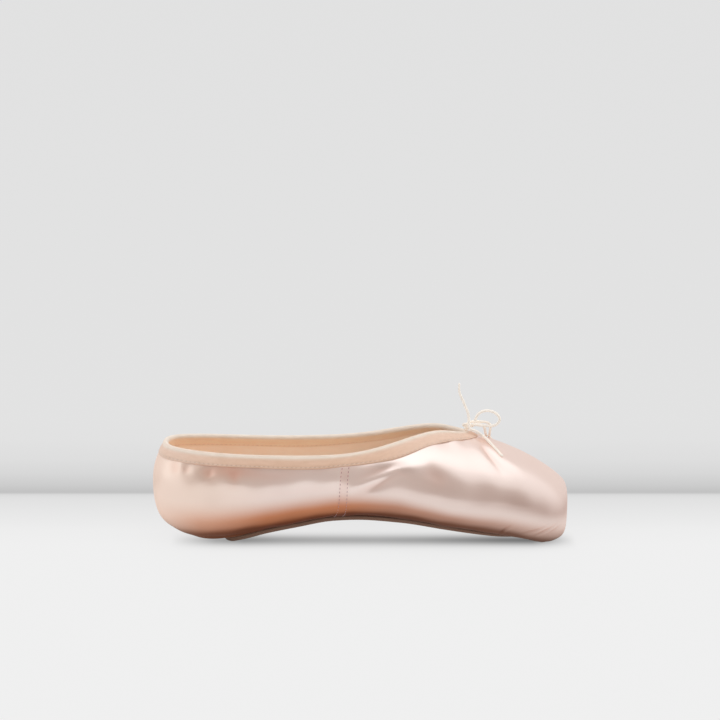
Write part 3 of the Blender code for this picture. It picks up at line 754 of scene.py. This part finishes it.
# Places round the half shoe count sections from the heel, and places down it count the wall's lines from
# the topline.
upper = {
    # Spacing of the mesh's columns at each section, from the heel to the toe tip, and its rows.
    "spacing": (0.0010, 0.0011, 0.0013, 0.0013, 0.0010, 0.0011, 0.0009, 0.0006, 0.00055, 0.0005),
    "rowSteps": (24, 24, 22, 28, 26, 4),
    "seamSection": 4, "seamHalfWidth": (0.0022, 0.0030), "seamRelief": 0.00035, "seamLean": (0.0024, 0.0008),
    "seamEdge": 0.0005, "backSeamDepth": 0.00035, "backSeamWidth": 0.0006, "weltPlace": 0.0014,
    "weltWidth": 0.0009, "weltShare": 0.5, "backSeamFade": 0.5,
    "seamTop": 0.9, "seamTopReach": 0.6, "seamFoot": 4.3, "seamFootReach": 0.5,
    "stitchPitch": 0.0022, "stitchLength": 0.0014, "stitchWidth": 0.00036, "stitchInset": 0.0005,
    "stitchSink": 0.00002, "stitchEnd": 4.3, "stitchTop": 1.08, "stitchRows": 160, "seamStep": 0.01,
    # Long waves: height, then share, turns round and down, and phase of each.
    "waves": 0.00010, "waveRows": ((1, 210, 2.1, 0.0), (1, 330, -3.3, 1.0), (0.7, 130, 5.2, 2.0)),
    "wavesEnd": 0.02, "edgeFade": 0.25, "creaseStep": 0.0015, "creaseEnd": 0.08, "creaseFade": 1.1,
    "pleatPitch": 0.0047, "pleatDepth": 0.00075, "pleatStart": 7.15, "pleatGrowth": 2.5,
    "pleatClimb": 0.82, "pleatTop": 3.25, "pleatFull": 4.6, "pleatSway": (0.22, 1.9),
    "pleatStagger": (0.45, 2.4), "pleatEnd": 5.6, "pleatEndReach": 0.6,
    # The brown painted shade under the shoe by section: where it starts down the wall, how far it takes to
    # be full, and its share there.
    "brownShadeStart": (2.0, 2.0, 2.0, 2.0, 1.93, 2.05, 2.3, 2.3, 2.3, 2.3),
    "brownShadeReach": (0.8, 0.8, 0.8, 0.8, 0.8, 0.7, 0.62, 0.62, 0.62, 0.62),
    "brownShadeShare": (0.12, 0.25, 0.72, 1.0, 1.0, 0.97, 0.84, 0.60, 0.35, 0.3),
    "waistBrown": (0.60, 0.30, 0.17), "toeBrown": (0.54, 0.33, 0.24), "dullerStart": 3.9, "dullerReach": 1.2,
    # A darker painted shade near the turn: its colour, where it starts down the wall and how far it takes.
    "underShade": (0.22, 0.165, 0.135), "underStart": 2.48, "underReach": 1.05,
    # Tables of places round the shoe and what is read there: a band of painted shade on the box's side, and
    # the shade under the binding at the vamp.
    "bandShade": (0.45, 0.375, 0.35), "bandWidth": 0.28, "bandMiddle": ((6.4, 7.6), (1.86, 2.03)),
    "bandShare": ((6.1, 7.0, 7.6, 8.3, 8.8), (0, 0.48, 0.64, 0.52, 0)),
    "vampShade": 0.34, "vampShadeWidth": 0.21,
    "vampShadeMiddle": ((4.6, 4.9, 5.25, 5.6), (1.04, 1.14, 1.34, 1.46)),
    "vampShadeShare": ((4.3, 4.65, 5.1, 5.5, 5.9), (0, 0.9, 1, 0.6, 0)),
    "heelTone": (1.13, 1.09, 1.02), "heelEnd": 3.4, "heelReach": 1.6,
    # Under the binding painted light lifts the quarters, by section, and a painted shade makes them pinker
    # where they are gathered.
    "quarterPaintedLight": (0, 0, 0.08, 0.28, 0.32, 0.28, 0, 0, 0, 0), "glowMiddle": 1.35, "glowWidth": 0.55,
    "gatherShade": (0.92, 0.76, 0.70), "gatherMiddle": 2.5, "gatherWidth": 0.34, "gatherEnd": 1.5,
    "gatherReach": 0.5,
    # Ridges get a painted highlight and creases a painted shade.
    "seamTone": (0.97, 0.93, 0.92), "ridgeHighlight": 0.10, "ridgeHeight": 0.0005, "creaseShade": (0.93, 0.85, 0.82),
    "foldDepth": 0.0008,
}

# Creases pressed into the cloth: a line over the wall through points in millimetres, its half width, and
# its depth, where a ridge is negative. Each lies on both sides unless it is marked.
creases = [
    {"width": 0.0024, "depth": 0.0004, "route": [(-1, -29.9, 42.6), (6.5, -29.8, 44.7),
      (13.4, -29.4, 46.9), (20.1, -28.4, 49.4), (24, -27.9, 50.4)]},
    {"width": 0.0024, "depth": -0.0005, "route": [(-4.5, -30.5, 36.4), (6.7, -30.7, 41.5),
      (17.3, -29.9, 45.6), (35.1, -29, 49.8)]},
    {"width": 0.0026, "depth": 0.0005, "route": [(-4.5, -30.4, 31.7), (10, -31.7, 39.6),
      (17.8, -31.2, 44.1), (25.6, -30.6, 46.8)]},
    {"width": 0.0050, "depth": 0.0006, "route": [(35.1, -30.1, 48.4), (43.4, -33.3, 43.5),
      (48.9, -34.6, 40.4)]},
    {"width": 0.0020, "depth": 0.0007, "oneSide": True, "route": [(67.3, -2.7, 58.6), (70, -13.3, 54.9),
      (75, -19.9, 49.6), (79.1, -23.5, 45.1)]},
    {"width": 0.0024, "depth": -0.0003, "oneSide": True, "route": [(71.2, -2.8, 57.1),
      (74.3, -11.6, 54.3), (78, -17.1, 50.6), (81.5, -20, 47.5)]},
    {"width": 0.0030, "depth": 0.0006, "route": [(-104.9, -17.3, 50), (-103.7, -20.3, 46.2),
      (-103, -22, 42.1)]},
    {"width": 0.0030, "depth": 0.0005, "route": [(-97.4, -21.4, 48.8), (-96.8, -24.1, 42.6)]},
    {"width": 0.0034, "depth": 0.0010, "route": [(-86.1, -24.4, 47.4), (-84.8, -25.8, 44.3),
      (-83.5, -26.8, 41.2)]},
    {"width": 0.0032, "depth": 0.0009, "route": [(-70.4, -26, 46.6), (-70.3, -27.7, 41.9),
      (-70.7, -28.3, 38.9)]},
    {"width": 0.0036, "depth": 0.0005, "route": [(-67, -27.1, 44.1), (-49.1, -27.6, 43.1),
      (-33.5, -27.6, 44.2)]},
    # Pleats that turn up round the side of the toe, some with a ridge beside them.
    {"width": 0.0010, "depth": 0.0006, "route": [(78, -24.7, 8.2), (81.2, -29.1, 12.3),
      (84.9, -30.3, 15.2)]},
    {"width": 0.0009, "depth": -0.0003, "route": [(79.8, -25.5, 8.5), (82.8, -29, 11.8), (86.2, -30, 14.3)]},
    {"width": 0.0009, "depth": 0.0006, "route": [(90.6, -26.4, 9.3), (95.5, -26.9, 10.2),
      (99.7, -27.1, 11.6), (104.8, -26.6, 13.8)]},
    {"width": 0.0009, "depth": -0.0003, "route": [(91.5, -25.8, 8.3), (96.2, -26.2, 9.1),
      (100.4, -26.4, 10.4), (105.2, -26, 12.6)]},
    {"width": 0.0009, "depth": 0.0006, "route": [(97.3, -24.5, 7.4), (101, -25.3, 8.9),
      (104.3, -25.5, 10.5), (108.3, -24.8, 12.7), (111.2, -23.7, 15.1)]},
    {"width": 0.0009, "depth": -0.0003, "route": [(98.5, -23.8, 6.6), (102, -24.6, 7.9),
      (105.3, -24.7, 9.4), (109, -24.1, 11.5)]},
    {"width": 0.0009, "depth": 0.0005, "route": [(105.7, -23.5, 7.9), (110.1, -23.1, 10.7),
      (113.5, -21.5, 13.8)]},
]


def creaseDepth(points, crease):
    # How far a point is pressed in: a bell over its distance from the crease's line, which fades to nothing
    # at the line's two ends.
    route = smoothPath(crease["route"], upper["creaseStep"])
    total = distancesAlong(route)
    best = np.full(len(points), np.inf)
    place = np.zeros(len(points))
    for start, end, before, after in zip(route[:-1], route[1:], total[:-1], total[1:]):
        step = end - start
        share = np.clip((points - start) @ step / (step @ step), 0, 1)
        distance = np.linalg.norm(points - start - share[:, None] * step, axis=1)
        nearer = distance < best
        best = np.where(nearer, distance, best)
        place = np.where(nearer, (before + share * (after - before)) / total[-1], place)
    end = upper["creaseEnd"]
    fade = np.sin(np.pi * (end + (1 - 2 * end) * place)) ** upper["creaseFade"]
    return crease["depth"] * bump(best, crease["width"]) * fade


def pressed(points):
    depth = np.zeros(points.shape[:2])
    for crease in creases:
        for side in (1,) if crease.get("oneSide") else (1, -1):
            depth += creaseDepth((points * (1, side, 1)).reshape(-1, 3), crease).reshape(depth.shape)
    return depth


def pleats(distance, down):
    # Pleats fan out under the toe: a wave round the shoe that climbs slowly and drops fast, on rows that
    # near the sole, each pleat starting at its own height.
    climb = upper["pleatClimb"]
    sway, swayTurn = upper["pleatSway"]
    stagger, staggerTurn = upper["pleatStagger"]
    count = (np.abs(distance) - np.interp(upper["pleatStart"], sectionPlaces, knots)) / upper["pleatPitch"]
    phase = count + sway * np.sin(count * swayTurn)
    part = phase - np.floor(phase)
    wave = np.where(part < climb, part / climb, (1 - part) / (1 - climb))
    begin = (upper["pleatTop"] + stagger * np.sin(np.floor(phase) * staggerTurn))[:, None]
    rise = softStep((down[None, :] - begin) / (upper["pleatFull"] - begin))
    return (upper["pleatDepth"] * (1 - wave) * softStep(count / upper["pleatGrowth"]))[:, None] * rise


def seamPlace(down):
    # The side seam's middle line, which leans a little forwards at the top, and its half width.
    share = np.clip(down / shoe["turnLine"], 0, 1)
    start, foot = upper["seamLean"]
    narrow, wide = upper["seamHalfWidth"]
    return knots[upper["seamSection"]] + start + (foot - start) * share, narrow + (wide - narrow) * share


def seamStrip(distance, down):
    # 1 on the side seam's strip and 0 beside it, with a soft edge between.
    middle, half = seamPlace(down)
    return softStep((half - np.abs(np.abs(distance)[:, None] - middle)) / upper["seamEdge"] + 0.5)


def seamShape(distance, down):
    # The side seam's strip stands out a little, and the back seam is a fine groove between two soft welts.
    strip = upper["seamRelief"] * seamStrip(distance, down)
    strip *= softStep((upper["seamFoot"] - down) / upper["seamFootReach"])
    strip *= softStep((down - upper["seamTop"]) / upper["seamTopReach"])
    back = np.abs(distance)[:, None]
    welt = upper["weltShare"] * bump(back - upper["weltPlace"], upper["weltWidth"])
    groove = upper["backSeamDepth"] * (bump(back, upper["backSeamWidth"]) - welt)
    return strip - groove * softStep((shoe["soleLine"] - down) / upper["backSeamFade"])


def slowWaves(distance, down):
    # Sums of long sine waves, so that the cloth isn't quite even. They end at the toe tip.
    s, d = distance[:, None], down[None, :]
    fade = softStep((knots[-1] - np.abs(s)) / upper["wavesEnd"])
    return fade * upper["waves"] * sum(share * np.sin(s * across + d * drop + phase)
                                       for share, across, drop, phase in upper["waveRows"])


def tinted(tone, colour, share):
    # A tone multiplied by a colour, as far as the share says at each point.
    return tone * (1 + (np.array(colour) - 1) * share[..., None])


def satinTone(depth, around, down):
    # What the satin's colour and its reflection are multiplied by: painted shade and light. Towards the sole
    # a brown painted shade warms it, by a share for each section, orange at the waist and duller at the toe.
    # depth
    # is how far each point is pressed in: in a crease a painted shade makes the tone a little deeper and
    # pinker, and on a ridge a painted highlight makes it paler.
    def bySection(name):
        return np.interp(around, sectionPlaces, upper[name])[:, None]

    def byTable(name):
        places, values = upper[name]
        return np.interp(around, places, values)[:, None]

    # A brown painted shade towards the sole.
    share = bySection("brownShadeShare") * softStep((down - bySection("brownShadeStart")) / bySection("brownShadeReach"))
    duller = softStep((around - upper["dullerStart"]) / upper["dullerReach"])[:, None, None]
    brown = np.array(upper["waistBrown"]) * (1 - duller) + np.array(upper["toeBrown"]) * duller
    tone = 1 + (brown - 1) * share[..., None]
    # Near the turn under the shoe a darker painted shade deepens it.
    under = softStep((down - upper["underStart"]) / upper["underReach"])
    tone = tinted(tone, upper["underShade"], under)
    # A soft band of painted shade lies along the side of the box.
    band = bump(down - byTable("bandMiddle"), upper["bandWidth"]) * byTable("bandShare")
    tone = tinted(tone, upper["bandShade"], band)
    heel = softStep((upper["heelEnd"] - around) / upper["heelReach"])[:, None]
    tone = tinted(tone, upper["heelTone"], heel)
    # Painted light lifts the quarters under the binding.
    glow = bySection("quarterPaintedLight") * bump(down - upper["glowMiddle"], upper["glowWidth"])
    tone *= 1 + glow[..., None]
    # A soft shade lies under the binding, where the vamp begins ahead of the side seam, and runs down from
    # it as it goes forwards.
    shade = bump(down - byTable("vampShadeMiddle"), upper["vampShadeWidth"]) * byTable("vampShadeShare")
    tone *= 1 - upper["vampShade"] * shade[..., None]
    # A pinker painted shade lies in the gathers under the binding.
    gathered = bump(around - upper["gatherMiddle"], upper["gatherWidth"])[:, None]
    gathered = gathered * softStep((upper["gatherEnd"] - down) / upper["gatherReach"])
    tone = tinted(tone, upper["gatherShade"], gathered)
    tone = tinted(tone, upper["seamTone"], seamStrip(np.interp(around, sectionPlaces, knots), down))
    # A painted highlight lies on each ridge and a painted shade in each crease.
    tone *= 1 + upper["ridgeHighlight"] * np.clip(-depth / upper["ridgeHeight"], 0, 1)[..., None]
    return tinted(tone, upper["creaseShade"], np.clip(depth / upper["foldDepth"], 0, 1))


def rowStops(steps):
    parts = [i + np.arange(count) / count for i, count in enumerate(steps)]
    return np.concatenate(parts + [[len(steps)]])


def makeUpper():
    ring, distance = ringStops(upper["spacing"])
    down = rowStops(upper["rowSteps"])
    base = fullSurface(ring, down)
    fromTop = softStep(down / upper["edgeFade"])
    fromSole = softStep((shoe["soleLine"] - down) / upper["edgeFade"])
    depth = pressed(base)
    move = (slowWaves(distance, down) - depth) * fromTop * fromSole
    move += seamShape(distance, down) * fromTop
    move -= pleats(distance, down) * softStep((upper["pleatEnd"] - down) / upper["pleatEndReach"])
    points = base + outward(base) * move[..., None]
    points[..., 2] = np.maximum(points[..., 2], 0)
    piece = ringPiece("satinUpper", points, np.r_[distance, knots[-1]], depthsDown(base), satin)
    paintPoints(piece, "tone", satinTone(depth, np.abs(ring), down))
    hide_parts("upper")


print("stage: upper")
makeUpper()


# Binding

binding = {
    "width": 0.0070, "stand": 0.00062, "sheet": 0.00045, "roll": 0.00012,
    "spacing": (0.0007, 0.0007, 0.0009, 0.0009, 0.0009, 0.0009, 0.0008, 0.0008, 0.0007, 0.0006),
    "legRows": 15, "foldRows": 9, "foldSpan": (15, 165), "legEnd": 0.06, "insideShare": 0.96,
    # How far the cloth is drawn in: at its own edge, along the stitches and in the middle of each leg.
    "edgeDepth": 0.00030, "edgeReach": 0.0005, "sewnHeight": 0.00022, "sewnWidth": 0.00055,
    "hollow": 0.00008, "hollowPlace": 0.34, "hollowWidth": 0.16, "rollStart": 0.24, "rollReach": 0.20,
    "stitchInset": 0.0010, "stitchPitch": 0.0026, "stitchLength": 0.0017, "stitchWidth": 0.00026,
    "pucker": 0.00009, "holeShade": 0.24, "holeWidth": 0.0003, "highlightLeg": 0.20, "highlightFold": 1.6,
    "holeShare": 0.55, "heelEnd": 3.0, "heelReach": 1.6, "throatStart": 4.6, "throatReach": 1.2,
    "wallEnd": 3, "wallRows": 91,
    # It is a little wider ahead of the side seam.
    "wider": 0.0022, "widerMiddle": 5.05, "widerReach": 0.55,
}


def ringWidths(ring):
    # The tape's width outside at each column, as the solid's sections give it and a little more.
    width = binding["width"] * np.interp(np.abs(ring), sectionPlaces, tapeShares)
    return width + binding["wider"] * bump(np.abs(ring) - binding["widerMiddle"], binding["widerReach"])


def puckered(line):
    # Height of the cloth along a row of stitches: up between the needle holes and down at them.
    along = distancesAlong(np.vstack([line, line[:1]]))
    return np.cos(2 * math.pi * round(along[-1] / binding["stitchPitch"]) * along[:-1] / along[-1])


def makeBinding():
    # A tape folded over the topline. Down each leg it stands off the wall by the same amount, a little
    # hollow in the middle and pulled in by the stitches; over the edge it is a half round about the wall.
    ring, distance = ringStops(binding["spacing"])
    wall = fullSurface(ring, np.linspace(0, binding["wallEnd"], binding["wallRows"]))
    normal = outward(wall)
    width = ringWidths(ring)[:, None]
    stand, inset, foldRows = binding["stand"], binding["stitchInset"], binding["foldRows"]
    wave = puckered(columnAt(width * (1 - inset / binding["width"]), wall)[:, 0])[:, None]

    def height(away, share):
        # away is the distance from the leg's own edge and share runs from 1 at that edge to 0 at the fold.
        edge = binding["edgeDepth"] * (1 - softStep(away / binding["edgeReach"]))
        sewn = (binding["sewnHeight"] - binding["pucker"] * wave) * bump(away - inset, binding["sewnWidth"])
        hollow = binding["hollow"] * bump(share - binding["hollowPlace"], binding["hollowWidth"])
        roll = binding["roll"] * softStep((binding["rollStart"] - share) / binding["rollReach"])
        return roll - edge - sewn - hollow

    def legAt(share, push):
        return columnAt(share * width, wall) + columnAt(share * width, normal) * push[..., None]

    leg = np.linspace(1, binding["legEnd"], binding["legRows"])
    fromEdge = (1 - leg) * width
    outside = legAt(leg, stand + height(fromEdge, leg))
    innerLeg = leg[::-1] * binding["insideShare"]
    innerEdge = (binding["insideShare"] - innerLeg) * width
    inside = legAt(innerLeg, -(shoe["quarterWall"] + stand + height(innerEdge, innerLeg)))
    edge, across, up = wall[:, :1], normal[:, :1], unit(wall[:, :1] - wall[:, 1:2])
    turn = np.radians(np.linspace(*binding["foldSpan"], foldRows))[None, :, None]
    reach = shoe["quarterWall"] / 2 + stand + binding["roll"]
    fold = edge - across * shoe["quarterWall"] / 2 + (across * np.cos(turn) + up * np.sin(turn)) * reach
    strip = np.concatenate([outside, fold, inside], axis=1)[:, ::-1]
    piece = ringPiece("binding", strip, np.r_[distance, knots[-1]], depthsDown(strip), tape)
    # Its colour by row: a painted highlight on the fold and beside it, warmer and brighter inside where
    # painted light lifts it, and darker at the needle holes.
    # Outside it is paler at the heel and at the throat.
    highlightShare = np.r_[bump(leg, binding["highlightLeg"]), bump(np.linspace(-1, 1, foldRows), binding["highlightFold"]),
                 innerLeg * 0][::-1, None]
    within = np.r_[leg * 0, np.linspace(0, 1, foldRows), innerLeg * 0 + 1][::-1, None]
    holes = np.concatenate([bump(fromEdge - inset, binding["holeWidth"]), 0 * fold[..., 0],
                            bump(innerEdge - inset, binding["holeWidth"])], axis=1)[:, ::-1]
    holes *= binding["holeShare"] - (1 - binding["holeShare"]) * wave
    heel, outer, throat, inner, foldHighlight = (np.array(finish["tape"][name])
                                       for name in ("heel", "outside", "throat", "inside", "fold"))
    section = np.abs(ring)[:, None, None]
    toHeel = softStep((binding["heelEnd"] - section) / binding["heelReach"])
    toThroat = softStep((section - binding["throatStart"]) / binding["throatReach"])
    outer = outer + (heel - outer) * toHeel + (throat - outer) * toThroat
    colour = outer + (inner - outer) * within
    colour = colour + (foldHighlight - colour) * highlightShare
    paintPoints(piece, "tone", colour * (1 - binding["holeShade"] * holes[..., None]))
    cloth = piece.modifiers.new("cloth", "SOLIDIFY")
    cloth.thickness = binding["sheet"]
    cloth.offset = -1
    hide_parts("binding")
    # The two rows of stitches lie on the tape, one outside and one inside.
    row = np.abs(fromEdge[0] - inset).argmin()
    made = [stitchRow(legPoints[:, place], outward(legPoints)[:, place], binding, True)
            for legPoints, place in ((outside, row), (inside, -1 - row))]
    stitchPiece("bindingStitches", made, thread)


stitch = {"stops": 7, "sides": 5, "taper": 2.6, "rise": 0.55, "sink": 0.25, "turnedBy": 0.3}


def stitchShape():
    # One stitch along X: a small ring of points carried along a few stops, thick in the middle, with its
    # two ends sinking into the cloth.
    along = np.linspace(-1, 1, stitch["stops"])[:, None]
    thick = np.sqrt(1 - np.abs(along) ** stitch["taper"])
    turn = np.linspace(0, 2 * math.pi, stitch["sides"], endpoint=False)
    lift = stitch["rise"] * (1 - along ** 2) - stitch["sink"]
    points = np.stack([along + 0 * turn, thick * np.cos(turn), thick * np.sin(turn) + lift], axis=-1)
    return points.reshape(-1, 3), tubeFaces(stitch["stops"], stitch["sides"], False)


def stitchRow(line, up, sizes, closed):
    # Copies of the stitch at an even pitch along a line, each turned to the line and to the cloth.
    if closed:
        line, up = np.vstack([line, line[:1]]), np.vstack([up, up[:1]])
    along = distancesAlong(line)
    total, length, width = along[-1], sizes["stitchLength"], sizes["stitchWidth"]
    count = max(2, round(total / sizes["stitchPitch"]))
    at = (np.arange(count) + 0.5) * total / count

    def read(values, where):
        return np.column_stack([np.interp(where, along, values[:, axis]) for axis in range(3)])

    step = length * stitch["turnedBy"]
    forward = unit(read(line, at + step) - read(line, at - step))
    side = unit(np.cross(read(up, at), forward))
    above = np.cross(forward, side)
    shape, faces = stitchShape()
    scaled = shape * (length / 2, width / 2, width / 2)
    points = (read(line, at)[:, None] + scaled[None, :, :1] * forward[:, None]
              + scaled[None, :, 1:2] * side[:, None] + scaled[None, :, 2:] * above[:, None])
    faces = faces[None] + np.arange(count)[:, None, None] * len(shape)
    return points.reshape(-1, 3), faces.reshape(-1, 4)


def stitchPiece(name, rows, material):
    starts = np.cumsum([0] + [len(points) for points, faces in rows])
    allFaces = np.concatenate([faces + start for (points, faces), start in zip(rows, starts)])
    piece = addPiece(name, np.concatenate([points for points, faces in rows]), allFaces[:, ::-1], material)
    weld(piece, poleReach)
    return piece


def makeSeamStitches():
    # Two rows down each side seam, from under the binding to the turn under the shoe.
    down = np.linspace(0, upper["stitchEnd"], upper["stitchRows"])
    middle, half = seamPlace(down)
    rows = []
    for side in (-1, 1):
        for edge in (-1, 1):
            around = side * np.interp(middle + edge * (half - upper["stitchInset"]), knots, sectionPlaces)
            # The seam's line crosses the wall slantwise, so its point is read from the column at each row.
            row = np.arange(len(down))
            before, here, after = (fullSurface(around + way * upper["seamStep"], down)[row, row]
                                   for way in (-1, 0, 1))
            normal = unit(np.cross(after - before, np.gradient(here, axis=0)))
            line = here + normal * (upper["seamRelief"] - upper["stitchSink"])
            keep = distancesAlong(line) > binding["width"] * upper["stitchTop"]
            rows.append(stitchRow(line[keep], normal[keep], upper, False))
    stitchPiece("seamStitches", rows, seamThread)


# Lining

lining = {
    "spacing": (0.0020,) * 10, "rows": 70, "firstRow": 0.12, "lastRow": 6, "back": 0.00005,
    "wrinkle": 0.00016, "wrinkleTurns": 520, "wrinkleBend": 3, "bendTurns": 90, "wrinkleLean": 0.6,
    "wrinkleTop": 0.6, "ridge": 0.00035, "ridgeWidth": 0.0045,
}


def makeLining():
    # The inside of the wall: the outer surface moved inwards by the wall's thickness. It has soft wrinkles,
    # and the seam allowance shows as a low ridge at each side seam.
    ring, distance = ringStops(lining["spacing"])
    down = np.linspace(lining["firstRow"], lining["lastRow"], lining["rows"])
    base = fullSurface(ring, down)
    s, d = distance[:, None], down[None, :]
    bend = lining["wrinkleBend"] * np.sin(s * lining["bendTurns"])
    wrinkle = np.sin(s * lining["wrinkleTurns"] + bend + lining["wrinkleLean"] * d)
    wrinkle *= lining["wrinkle"] * softStep(d / lining["wrinkleTop"])
    ridge = lining["ridge"] * bump(np.abs(s) - knots[upper["seamSection"]], lining["ridgeWidth"])
    points = base - outward(base) * (wallAt(base) + lining["back"] + wrinkle + ridge)[..., None]
    # Its rows run the other way, so that it faces into the shoe.
    piece = ringPiece("lining", points[:, ::-1], np.r_[distance, knots[-1]], depthsDown(base)[:, ::-1],
                      liningCotton)


# Sole and insole

plates = {
    "columns": 90, "edgeRound": 0.0008, "edgeSteps": 5, "middleReach": 0.00002, "spineReach": 0.3,
    "skivedRows": 0.9,
    "insoleThickness": 0.0014, "insoleClearance": 0.0026, "insoleTipClearance": 0.0055,
    "insoleCrown": 0.0004, "insoleEdgeRound": 0.0005, "insoleRows": 9,
    "tipStart": 0.80, "tipReach": 0.13,
    "channelPlace": 0.835, "channelWidth": 0.020, "channelDepth": 0.00030,
    "soleRows": (0, 0.3, 0.55, 0.72, 0.80, 0.835, 0.87, 0.94, 1.0),
}


def plateRows(outline, top, bottom, edgeRound, inner):
    # Rows of a closed plate from its middle line out over the top, round the edge and back below. The edge
    # is a quarter round above and another below.
    reach = plates["spineReach"] * outline[:, 1].max()
    spine = np.column_stack([np.clip(outline[:, 0], outline[0, 0] + reach, outline[-1, 0] - reach),
                             np.zeros(len(outline))])
    edge = insetOutline(outline, edgeRound)
    turn = np.linspace(0, math.pi / 2, plates["edgeSteps"])

    def halfPlate(surface, side):
        lines = [(spine + (edge - spine) * share, share, 0) for share in inner]
        lines += [(insetOutline(outline, edgeRound * (1 - math.sin(angle))), 1, 1 - math.cos(angle))
                  for angle in turn]
        return [np.column_stack([line, surface(line[:, 0], share) - side * edgeRound * drop])
                for line, share, drop in lines]

    return np.stack(halfPlate(top, 1) + halfPlate(bottom, -1)[::-1], axis=1)


def platePiece(name, outline, top, bottom, edgeRound, inner, material):
    half = plateRows(outline, top, bottom, edgeRound, inner)
    half[[0, -1], :, 1] = 0
    whole = np.concatenate([half, half[-2:0:-1] * (1, -1, 1)]) - (centreX, 0, 0)
    foldHighlight = whole[:, whole.shape[1] // 2]
    piece = ringPiece(name, whole, distancesAlong(np.vstack([foldHighlight, foldHighlight[:1]])), depthsDown(whole), material)
    weld(piece, plates["middleReach"])
    return piece


def makeSole():
    around = np.linspace(0, lastSection, plates["columns"])
    outline = outerSurface(around, np.array([shoe["soleLine"]]))[:, 0, :2]

    def top(x, share):
        return seat(x) - shoe["seatGap"]

    def bottom(x, share):
        # A shallow channel runs along the edge, where the sole is sewn and the cut is glued down again.
        channel = plates["channelDepth"] * bump(share - plates["channelPlace"], plates["channelWidth"])
        return np.maximum(top(x, share) - soleDepth(x), 0) + channel

    piece = platePiece("leatherSole", outline, top, bottom, plates["edgeRound"], plates["soleRows"], leather)
    # The skived edge is the middle rows of each column.
    rows = 2 * (len(plates["soleRows"]) + plates["edgeSteps"])
    row = np.arange(len(piece.data.vertices)) % rows
    paintPoints(piece, "edge", bump(row - (rows - 1) / 2, plates["edgeSteps"] * plates["skivedRows"]))
    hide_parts("sole")


def makeInsole():
    around = np.linspace(0, lastSection, plates["columns"])
    turned = outerSurface(around, np.array([shoe["turnLine"]]))[:, 0]
    wall = wallAt(turned - (centreX, 0, 0))
    outline = insetOutline(turned[:, :2], (plates["insoleClearance"] + wall)[:, None])
    toTip = softStep((outline[:, 0] / shoe["length"] - plates["tipStart"]) / plates["tipReach"])
    outline[:, 0] -= plates["insoleTipClearance"] * toTip

    def bottom(x, share):
        inside = wallAt(np.column_stack([x - centreX, x * 0, seat(x)]))
        return seat(x) + inside + shoe["seatGap"]

    def top(x, share):
        return bottom(x, share) + plates["insoleThickness"] + plates["insoleCrown"] * (1 - share ** 2)

    piece = platePiece("insole", outline, top, bottom, plates["insoleEdgeRound"],
                       np.linspace(0, 1, plates["insoleRows"]), insoleCotton)
    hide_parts("insole")


print("stage: binding and stitches")
makeBinding()
makeSeamStitches()
print("stage: lining, sole and insole")
makeLining()
makeSole()
makeInsole()
